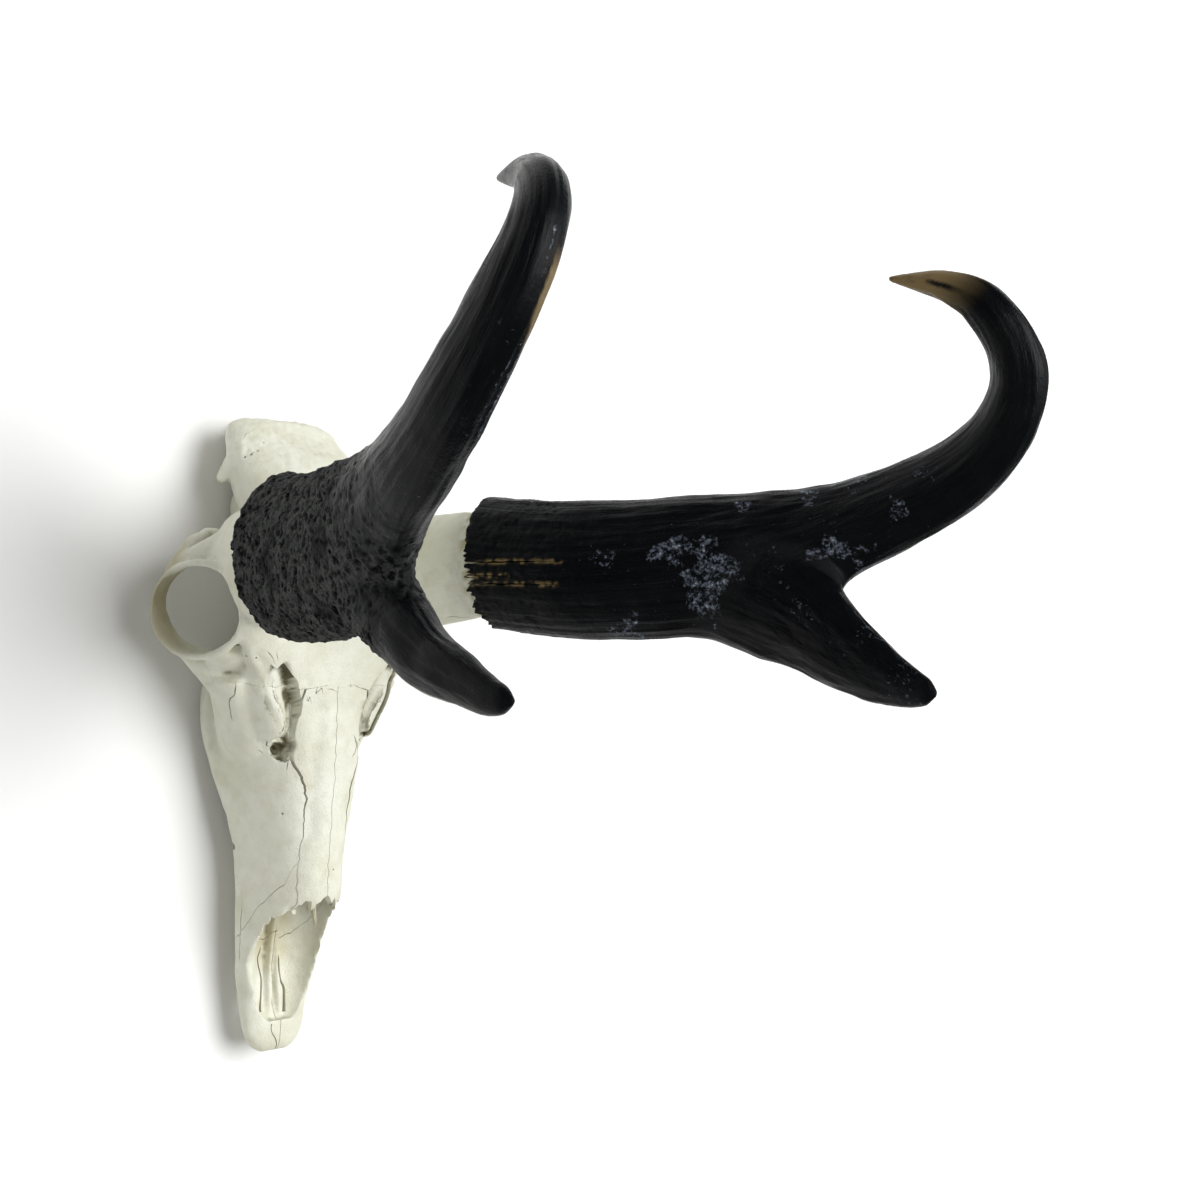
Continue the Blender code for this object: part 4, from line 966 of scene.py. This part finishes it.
def septum():
    """The thin upright plate in the midline, broken off in front in a jagged edge: a grid of height and length."""
    share = np.linspace(0, 1, 40)
    zero, height = 0 * share, 24 + share * 27
    front = np.interp(height, *np.transpose(SEPTUM_EDGE))
    front = front + ragged(np.stack([share * 30, zero, zero], axis=1), 3, 0.7, 91)
    edges = [(-0.55, front), (0.55, front), (0.8, zero - 40), (-0.8, zero - 40)]
    return skin("septum", np.stack([np.stack([zero + x, y, height], axis=1) for x, y in edges], axis=1))


def build_bones(material):
    """The skull as one fused, hollowed and carved surface, parted into its bones."""
    skull = body("cranium_bone", BRAINCASE, keel=BRAINCASE_KEEL)
    shapes = [body("face", FACE), body("forehead", FOREHEAD), body("sphenoid", SPHENOID), body("palatine", PALATINE)]
    for side in SIDES.values():
        shapes += side_shapes(side)
    boolean(skull, shapes, "UNION")
    melt(skull, BONE_VOXEL * 1.15, 9)
    holes = [body("cavity", CAVITY, sides=56), table_cut(),
             tube("foramen", [(0, 118, 42), (0, 130, 41), (0, 150, 40)], [(0, 5), (1, 7)], [(0, 6), (1, 8)]),
             tube("choana", [(0, 30, 38), (0, 46, 32), (0, 70, 18)], [(0, 5), (1, 9)], [(0, 6.5), (1, 7)])]
    for side in SIDES.values():
        holes += openings(side)
    boolean(skull, holes, "DIFFERENCE")
    boolean(skull, [*nose_bars(), septum()], "UNION")
    melt(skull, BONE_VOXEL, 2)
    largest(skull)
    carve_skull(skull)
    windows = []
    for side in SIDES.values():
        windows.append(palate_slit(side))
        window = prism("window", ragged_outline(WINDOW, side), (0, 0, -8), (side * 1.6, -0.8, -26))
        windows.append(boolean(window, [sunk(skull, 1.9)], "DIFFERENCE"))
        windows.append(tube("pit", mirrored(LACRIMAL_HOLE, side), [(0, 3.4), (0.5, 3), (1, 2)],
                            [(0, 2.2), (0.5, 1.9), (1, 1.2)], across=(0.8, 0.6, 0)))
    boolean(skull, windows, "DIFFERENCE")
    largest(skull)
    tree = surface_tree(skull)
    boolean(skull, cracks(tree) + vessel_holes(tree), "DIFFERENCE")
    parts = {}
    for bone, region, seam in (("horn_core", core_region, CORE_SEAM), ("zygomatic", cheek_region, HAIRLINE),
                               ("nasal", nasal_region, NASAL_SEAM),
                               ("premaxilla", lambda side: wall_region(side, PREMAXILLA_EDGE, 101), PREMAXILLA_SEAM),
                               ("maxilla", lambda side: wall_region(side, MAXILLA_EDGE, 111), HAIRLINE)):
        for name, side in SIDES.items():
            parts[f"{bone}_{name}"] = take(skull, f"{bone}_bone_{name}", region(side), seam)
    parts["cranium"] = largest(skull)
    for name, side in SIDES.items():
        boolean(parts["maxilla_" + name], teeth(side), "UNION")
        for bone in ("nasal_", "maxilla_", "premaxilla_"):
            boolean(parts[bone + name], [nasal_notches(side)], "DIFFERENCE")
            largest(parts[bone + name])
    for node, part in parts.items():
        colour_bone(part)
        settle(part, material, [node])


def nasal_notches(side):
    """What lies ahead of the nasal bone's broken front edge: a jagged outline seen from above, swept upwards."""
    x, y = np.transpose(NASAL_EDGE[SIDE_NAMES[side]])
    across = np.linspace(x[0], x[-1], 80)
    wander = ragged(np.stack([across, 0 * across, 0 * across + side * 4], axis=1), 0.8, 0.3, 151)
    edge = np.stack([across, np.interp(across, x, y) + wander, 0 * across], axis=1)
    outline = np.vstack([edge, [(16, -100, 0), (-1, -100, 0)]])
    return prism("front", outline * (side, 1, 1), (0, 0, 44), (0, 0, 75))


# Painted olive-brown shade along the gap's edges, in the tear duct's hole and under the nasal tips: reach, strength and
# course
SHADE_LINES = [
    (2.0, 0.85, [(-26, 19, 72), (-21.5, 10, 71), (-17.8, 1, 69), (-18.6, -4, 66), (-18, -10, 63), (-17.8, -16, 61)]),
    (4.6, 1.0, [(-20.2, -13.5, 62), (-21, -14.2, 56), (-22, -15, 48)]),
    (3.4, 0.9, [(26, 19, 74), (21, 10, 72), (18.4, 0, 69), (19, -8, 65), (20.6, -15, 60)]),
    (2.6, 0.9, [(4, -86, 46), (12, -87, 44)]), (2.2, 0.7, [(-3, -86, 46), (-10, -86, 44)]),
]


def colour_bone(part):
    """Paints shade into hollows and creases, along the gap's edges, in the tear duct's hole and under the nasal tips;
    stains along the sutures and round the cores; and painted shade inside the nose and on the cheek arch's lower outer
    face.
    """
    points, _ = read(part)
    painted_line_shade = np.max([held * ease(reach, 0.3 * reach, to_line(points, line))
                    for reach, held, line in SHADE_LINES], axis=0)
    deep = hollowness(part, 26)
    fine = hollowness(part, 4)
    painted_line_shade = painted_line_shade * ease(-0.7, 0.2, noise(points / 1.9, 139))
    # Painted shade: darker in deep and fine hollows and along the shade lines
    paint(part, "hollow", painted_line_shade + ease(0.25, 1.3, deep) * 0.7 + ease(0.08, 0.35, fine) * 0.4)
    # Painted shade inside the nose's cavity, under the nasal bones
    inside = ease(3, 12, 17 - np.abs(points[:, 0])) * ease(-30, -44, points[:, 1]) * ease(54, 44, points[:, 2])
    inside = inside * ease(-118, -96, points[:, 1])
    blotch = ease(-0.1, 0.6, rough_noise(points / 8, 3, 131))
    edge = np.array(NASALS)[:, [1, 0, 2]] + (0, 0, 4)
    seam = np.minimum(to_line(points, edge), to_line(points, edge * (-1, 1, 1)))
    side = 1 if points[:, 0].mean() > 0 else -1
    _, base, way = core_line(side)
    rim = ease(-6, 0, (points - base) @ way) * ease(0.2, -0.3, noise(points / 2.4, 137)) * (points[:, 2] > 95)
    # Painted shade on the lower outer face of the cheek arch
    arch = 0.6 * ease(54, 61, np.abs(points[:, 0])) * ease(60, 48, points[:, 2]) * ease(20, 40, points[:, 1])
    paint(part, "stain_and_shade", 0.8 * rim + arch + 0.55 * inside + 0.4 * blotch * np.exp(-(seam / 2.5) ** 2) + 0.12 * blotch)


def horn_places(points, line, depth, thickness):
    """For each point: how far along a centre line it is, its angle round it, its distance in section radii, and the
    section's mean radius."""
    path = curve_through(line, COURSE_POINTS)
    length = run_length(path)
    tangent, side, other = path_frame(path, (1, 0, 0))
    nearest = np.zeros(len(points), int)
    best = np.full(len(points), 1e9)
    for start in range(0, COURSE_POINTS, 40):
        gap = np.linalg.norm(points[:, None] - path[None, start:start + 40], axis=2)
        closer = gap.min(1) < best
        nearest = np.where(closer, gap.argmin(1) + start, nearest)
        best = np.minimum(best, gap.min(1))
    offset = points - path[nearest]
    forward, a, b = (np.einsum("ij,ij->i", offset, way[nearest]) for way in (tangent, side, other))
    fraction = length[nearest] / length[-1]
    wide, deep = by_fraction(thickness, fraction), by_fraction(depth, fraction)
    return length[nearest] + forward, np.arctan2(b / deep, a / wide), np.hypot(a / wide, b / deep), 0.5 * (wide + deep)


def horn_courses(points, beam, prong):
    """Each point's way along, angle round and section radius, on the beam and on the prong, and how far it is the
    prong's: from 0 to 1 where the prong's section comes nearer than the beam's."""
    s, turn, near_beam, radius = horn_places(points, *beam)
    p, spin, near_prong, slim = horn_places(points, *prong)
    return (s, turn, radius), (p, spin, slim), ease(-0.25, 0.25, near_beam - near_prong) * ease(45, 65, p)


def strands(along, angle, radius, width, length, seed):
    """Noise drawn out along the horn: fibres of a width across and a length along, in mm."""
    wrap = np.stack([np.cos(angle) * radius / width, np.sin(angle) * radius / width, along / length], axis=1)
    return rough_noise(wrap, 3, seed)


def build_horn(name, side, material):
    """One sheath: beam, prong and web fused, fluted along, pitted towards its base and hollow at its mouth."""
    beam = (mirrored(BEAM[name], side), BEAM_DEPTH[name], BEAM_THICKNESS[name])
    prong = (mirrored(PRONG[name], side), PRONG_DEPTH[name], PRONG_THICKNESS)
    web = mirrored(FORK_WEB[name], side)
    seed = 200 if side > 0 else 300
    horn = tube("horn_sheath_" + name, *beam, sides=72)
    boolean(horn, [tube("prong", *prong, sides=48), tube("web", web, WEB_DEPTH, WEB_THICKNESS, sides=48)], "UNION")
    melt(horn, HORN_VOXEL, 12)
    points, _ = read(horn)
    soften(horn, 110, np.exp(-(to_line(points, web) / 30) ** 4))
    grow_horn(horn, beam, prong, side, seed)
    _, start, way = core_line(side)
    hollow = tube("mouth", [start - way * 9, start, start + way * SOCKET_DEPTH],
                  [(0, CORE_HALF_DEPTH + 0.6), (1, CORE_HALF_DEPTH - 0.4)],
                  [(0, CORE_HALF_THICKNESS + 0.6), (1, CORE_HALF_THICKNESS - 0.4)], sides=72)
    splits = [split(*course) for course in SPLITS] if name == "left" else []
    boolean(horn, [hollow, rim_cutter(side), *splits], "DIFFERENCE")
    largest(horn)
    colour_horn(horn, beam, prong, side, seed)
    settle(horn, material, [f"horn_shaft_{name}", f"horn_prong_{name}", f"horn_hook_{name}"])


def grow_horn(horn, beam, prong, side, seed):
    """Moves a sheath's surface along its normals: flutes, fibres, the knobs and pits of its base, and broad bends."""
    points, normals = read(horn)
    on_beam, on_tine, share = horn_courses(points, beam, prong)
    flute = (1 - share) * strands(*on_beam, 7.0, 120, seed) + share * strands(*on_tine, 6.0, 90, seed + 1)
    fibre = (1 - share) * strands(*on_beam, 1.7, 38, seed + 20) + share * strands(*on_tine, 1.6, 30, seed + 21)
    base = rough_base(points, on_beam[0], on_tine[0], share, side)
    knobs = rough_noise(points / 2.9, 3, seed + 50) * base
    tine_end = ease(26, 4, length_left(on_tine[0], prong[0]))
    tip = ease(0, 30, length_left(on_beam[0], beam[0])) * (1 - share * tine_end)
    out = (0.5 * flute + 0.3 * fibre) * (1 - 0.6 * base) * tip + 0.75 * knobs - 1.7 * pits(points, seed) * base
    out += 0.5 * rough_noise(points / 16, 2, seed + 60) * tip
    move(horn, points + normals * out[:, None])


def colour_horn(horn, beam, prong, side, seed):
    """Stores where a sheath is matt, pitted (the pits carrying painted shade), scuffed and thin, the painted sheen
    streaks and painted amber glow on the right sheath's face turned to the light, and the course of its fibres.
    """
    points, normals = read(horn)
    on_beam, on_tine, share = horn_courses(points, beam, prong)
    s = on_beam[0]
    base = rough_base(points, s, on_tine[0], share, side)
    paint(horn, "base", base)
    # The pits are darkened as painted shade, deepest where the surface is hollow
    paint(horn, "pit", 1.3 * pits(points, seed) * base + ease(0.1, 0.5, hollowness(horn, 5)) * base)
    patch = ease(0.05, 0.5, rough_noise(points / 13, 3, seed + 90))
    if side > 0:
        scuff_and_sheen = ease(35, 90, s) * ease(235, 190, s) * (0.25 + patch) * (1 - 0.5 * share)
        hook = ease(42, 16, length_left(s, beam[0])) * ease(-0.6, 0.3, strands(*on_beam, 3, 40, seed + 70) + 0.2)
        rift = np.min([to_line(points, curve_through(course, 12)) for course, _ in SPLITS], axis=0)
        frayed = ease(1.7, 0.5, rift) * ease(62, 30, s) * ease(-0.4, 0.3, noise(points / 1.6, 71))
        amber = 0.8 * np.maximum(hook, frayed)
    else:
        # On the right sheath: painted sheen streaks on the face turned to the light, mixed with real scuff patches
        facing = normals @ SHEEN_SIDE
        sheen_streaks = ease(0.1, 0.7, facing) * ease(195, 225, s) * ease(300, 280, s)
        sheen_streaks = sheen_streaks * ease(0.1, 0.45, strands(*on_beam, 1.3, 30, seed + 80))
        scuff_and_sheen = np.maximum(0.35 * patch * ease(60, 120, s), 0.95 * sheen_streaks)
        # Painted amber glow along the right sheath's face turned to the light
        edge = ease(0.72, 0.9, facing) * ease(252, 261, s) * ease(284, 275, s)
        amber = 0.65 * edge * ease(-0.6, 0.2, strands(*on_beam, 3, 60, seed + 70) + 0.3)
    paint(horn, "scuff_and_sheen", scuff_and_sheen)
    paint(horn, "amber", amber)
    # The fibres' course: round the horn in mm, and a twentieth of the way along it
    beam_course, tine_course = (np.stack([np.cos(angle) * radius, np.sin(angle) * radius, along * 0.05 + shift], axis=1)
                                for (along, angle, radius), shift in ((on_beam, 0), (on_tine, 40)))
    layer = horn.data.attributes.new("course", "FLOAT_VECTOR", "POINT")
    blended = beam_course + share[:, None] * (tine_course - beam_course)
    layer.data.foreach_set("vector", blended.astype(np.float32).ravel())


def rough_base(points, s, p, on_prong, side):
    """Where a sheath is pitted and matt, from 0 to 1: its lower part, with a wandering edge; little on the left."""
    wander = 26 * rough_noise(points / 24, 3, 501)
    near = ease(200, 120, s + wander) * (1 - on_prong * ease(62, 118, p + wander))
    return near if side < 0 else 0.22 * ease(70, 20, s + wander)


def pits(points, seed):
    """Pits of uneven size and outline: one per cell of wandering space, each with its own radius."""
    warp = np.stack([noise(points / 2.2, seed + k) for k in (31, 32, 33)], axis=1)
    warped = points + 1.1 * warp
    near, own = pit_cells(warped / 4.4, seed + 30)
    near_small, own_small = pit_cells(warped / 2.7, seed + 40)
    large = ease(0.20 + 0.26 * own, 0.10 + 0.12 * own, near) * (own > 0.45)
    small = ease(0.40, 0.2, near_small) * (own_small > 0.55)
    return np.maximum(large, 0.7 * small)


def split(course, half):
    """A split in the sheath's wall: a blade that narrows from the rim upwards along its course."""
    path = curve_through(course, 30)
    path = path + 0.35 * np.stack([0 * path[:, 0], noise(path / 2.5, 77), noise(path / 2.5, 78)], axis=1)
    return tube("split", path, [(0, 9), (0.5, 7), (1, 3)], [(0, half), (0.5, 0.8 * half), (1, 0.15 * half)],
                across=(0, 1, 0.1), steps=1, sides=10)


def length_left(along, line):
    """How far it is from a place on a centre line to the line's end."""
    return run_length(curve_through(line, COURSE_POINTS))[-1] - along


def rim_cutter(side):
    """What lies below the sheath's ragged lower edge: a disc whose upper face has bites and slivers."""
    _, base, way = core_line(side)
    _, across, fore = (v[0] for v in path_frame(np.array([base, base + way]), (side, 0, 0)))
    turn = full_turn(360)
    place = np.stack([np.cos(turn) * 26, np.sin(turn) * 26, 0 * turn + side * 7], axis=1)
    if side > 0:
        finger = np.clip(noise(place / 1.3, 401) + 0.4, 0, 1) ** 0.6
        bite = 0.8 + finger * (2.6 + 4.2 * np.clip(0.4 + noise(place / 9, 402), 0, 1))
    else:
        bite = 0.9 + 1.4 * np.abs(noise(place / 4.2, 411)) + 1.2 * rough_noise(place / 2.2, 2, 412)
    reach = np.cos(turn)[:, None] * across + np.sin(turn)[:, None] * fore
    rings = [base + reach * size - way * 14 for size in (2, 60)]
    rings += [base + reach * size + way * bite[:, None] for size in (60, 34, 22, 12)]
    rings += [base + reach * 2]
    return skin("rim", np.stack(rings))


def room():
    """A plain pale floor under soft, even studio light."""
    floor = prism("floor", [(-6, -6, 0), (6, -6, 0), (6, 6, 0), (-6, 6, 0)], (0, 0, -0.02), (0, 0, 0))
    material, shader, place = start("matt_white_paint", 0.9, 1.45)
    patches = cloud(material, place, 3.0, 2.0).outputs["Fac"]
    wire(material, shader, {"Base Color": mix(material, ramp(material, patches, 0.3, 0.7), "#f7f7f6", "#f5f5f4")})
    floor.data.materials.append(material)
    world = bpy.data.worlds.new("even_light")
    bpy.context.scene.world = world
    world.use_nodes = True
    background = world.node_tree.nodes["Background"]
    background.inputs["Color"].default_value = (1, 1, 1, 1)
    background.inputs["Strength"].default_value = 0.26
    for name, spot, size, power in (("key", (0.8, 0.4, 2.9), 3.0, 118), ("fill", (-2.4, -1.2, 2.4), 2.4, 7)):
        lamp = bpy.data.lights.new(name, "AREA")
        lamp.shape, lamp.size, lamp.energy = "DISK", size, power
        holder = bpy.data.objects.new(name, lamp)
        holder.location = spot
        holder.rotation_euler = (Vector((0, 0, 0.1)) - Vector(spot)).to_track_quat("-Z", "Y").to_euler()
        bpy.context.collection.objects.link(holder)


# The photograph's view, in metres: its place, the directions to the picture's right and top, and the way back
VIEW_PLACE = (-0.5501, 0.0038, 0.7390)
VIEW_RIGHT, VIEW_UP, VIEW_BACK = (0.68306, -0.0033, 0.7304), (-0.0252, 0.9993, 0.0282), (-0.7299, -0.0376, 0.6825)


def camera():
    """The photograph's view: right of the skull and above it, turned so that the face points down the picture."""
    lens = bpy.data.cameras.new("view")
    lens.sensor_width, lens.lens = 36.0, 57.61
    lens.clip_start, lens.clip_end = 0.05, 50
    holder = bpy.data.objects.new("view", lens)
    turn = Matrix((VIEW_RIGHT, VIEW_UP, VIEW_BACK)).transposed().to_4x4()
    holder.matrix_world = Matrix.Translation(VIEW_PLACE) @ turn
    bpy.context.collection.objects.link(holder)
    bpy.context.scene.camera = holder
    # The photograph's plain contrast, in which a lit white ground stays white
    bpy.context.scene.view_settings.view_transform = "Standard"


camera()
room()
build_bones(dry_bone())
keratin = horn_keratin()
for name, side in SIDES.items():
    build_horn(name, side, keratin)

bpy.context.view_layer.update()
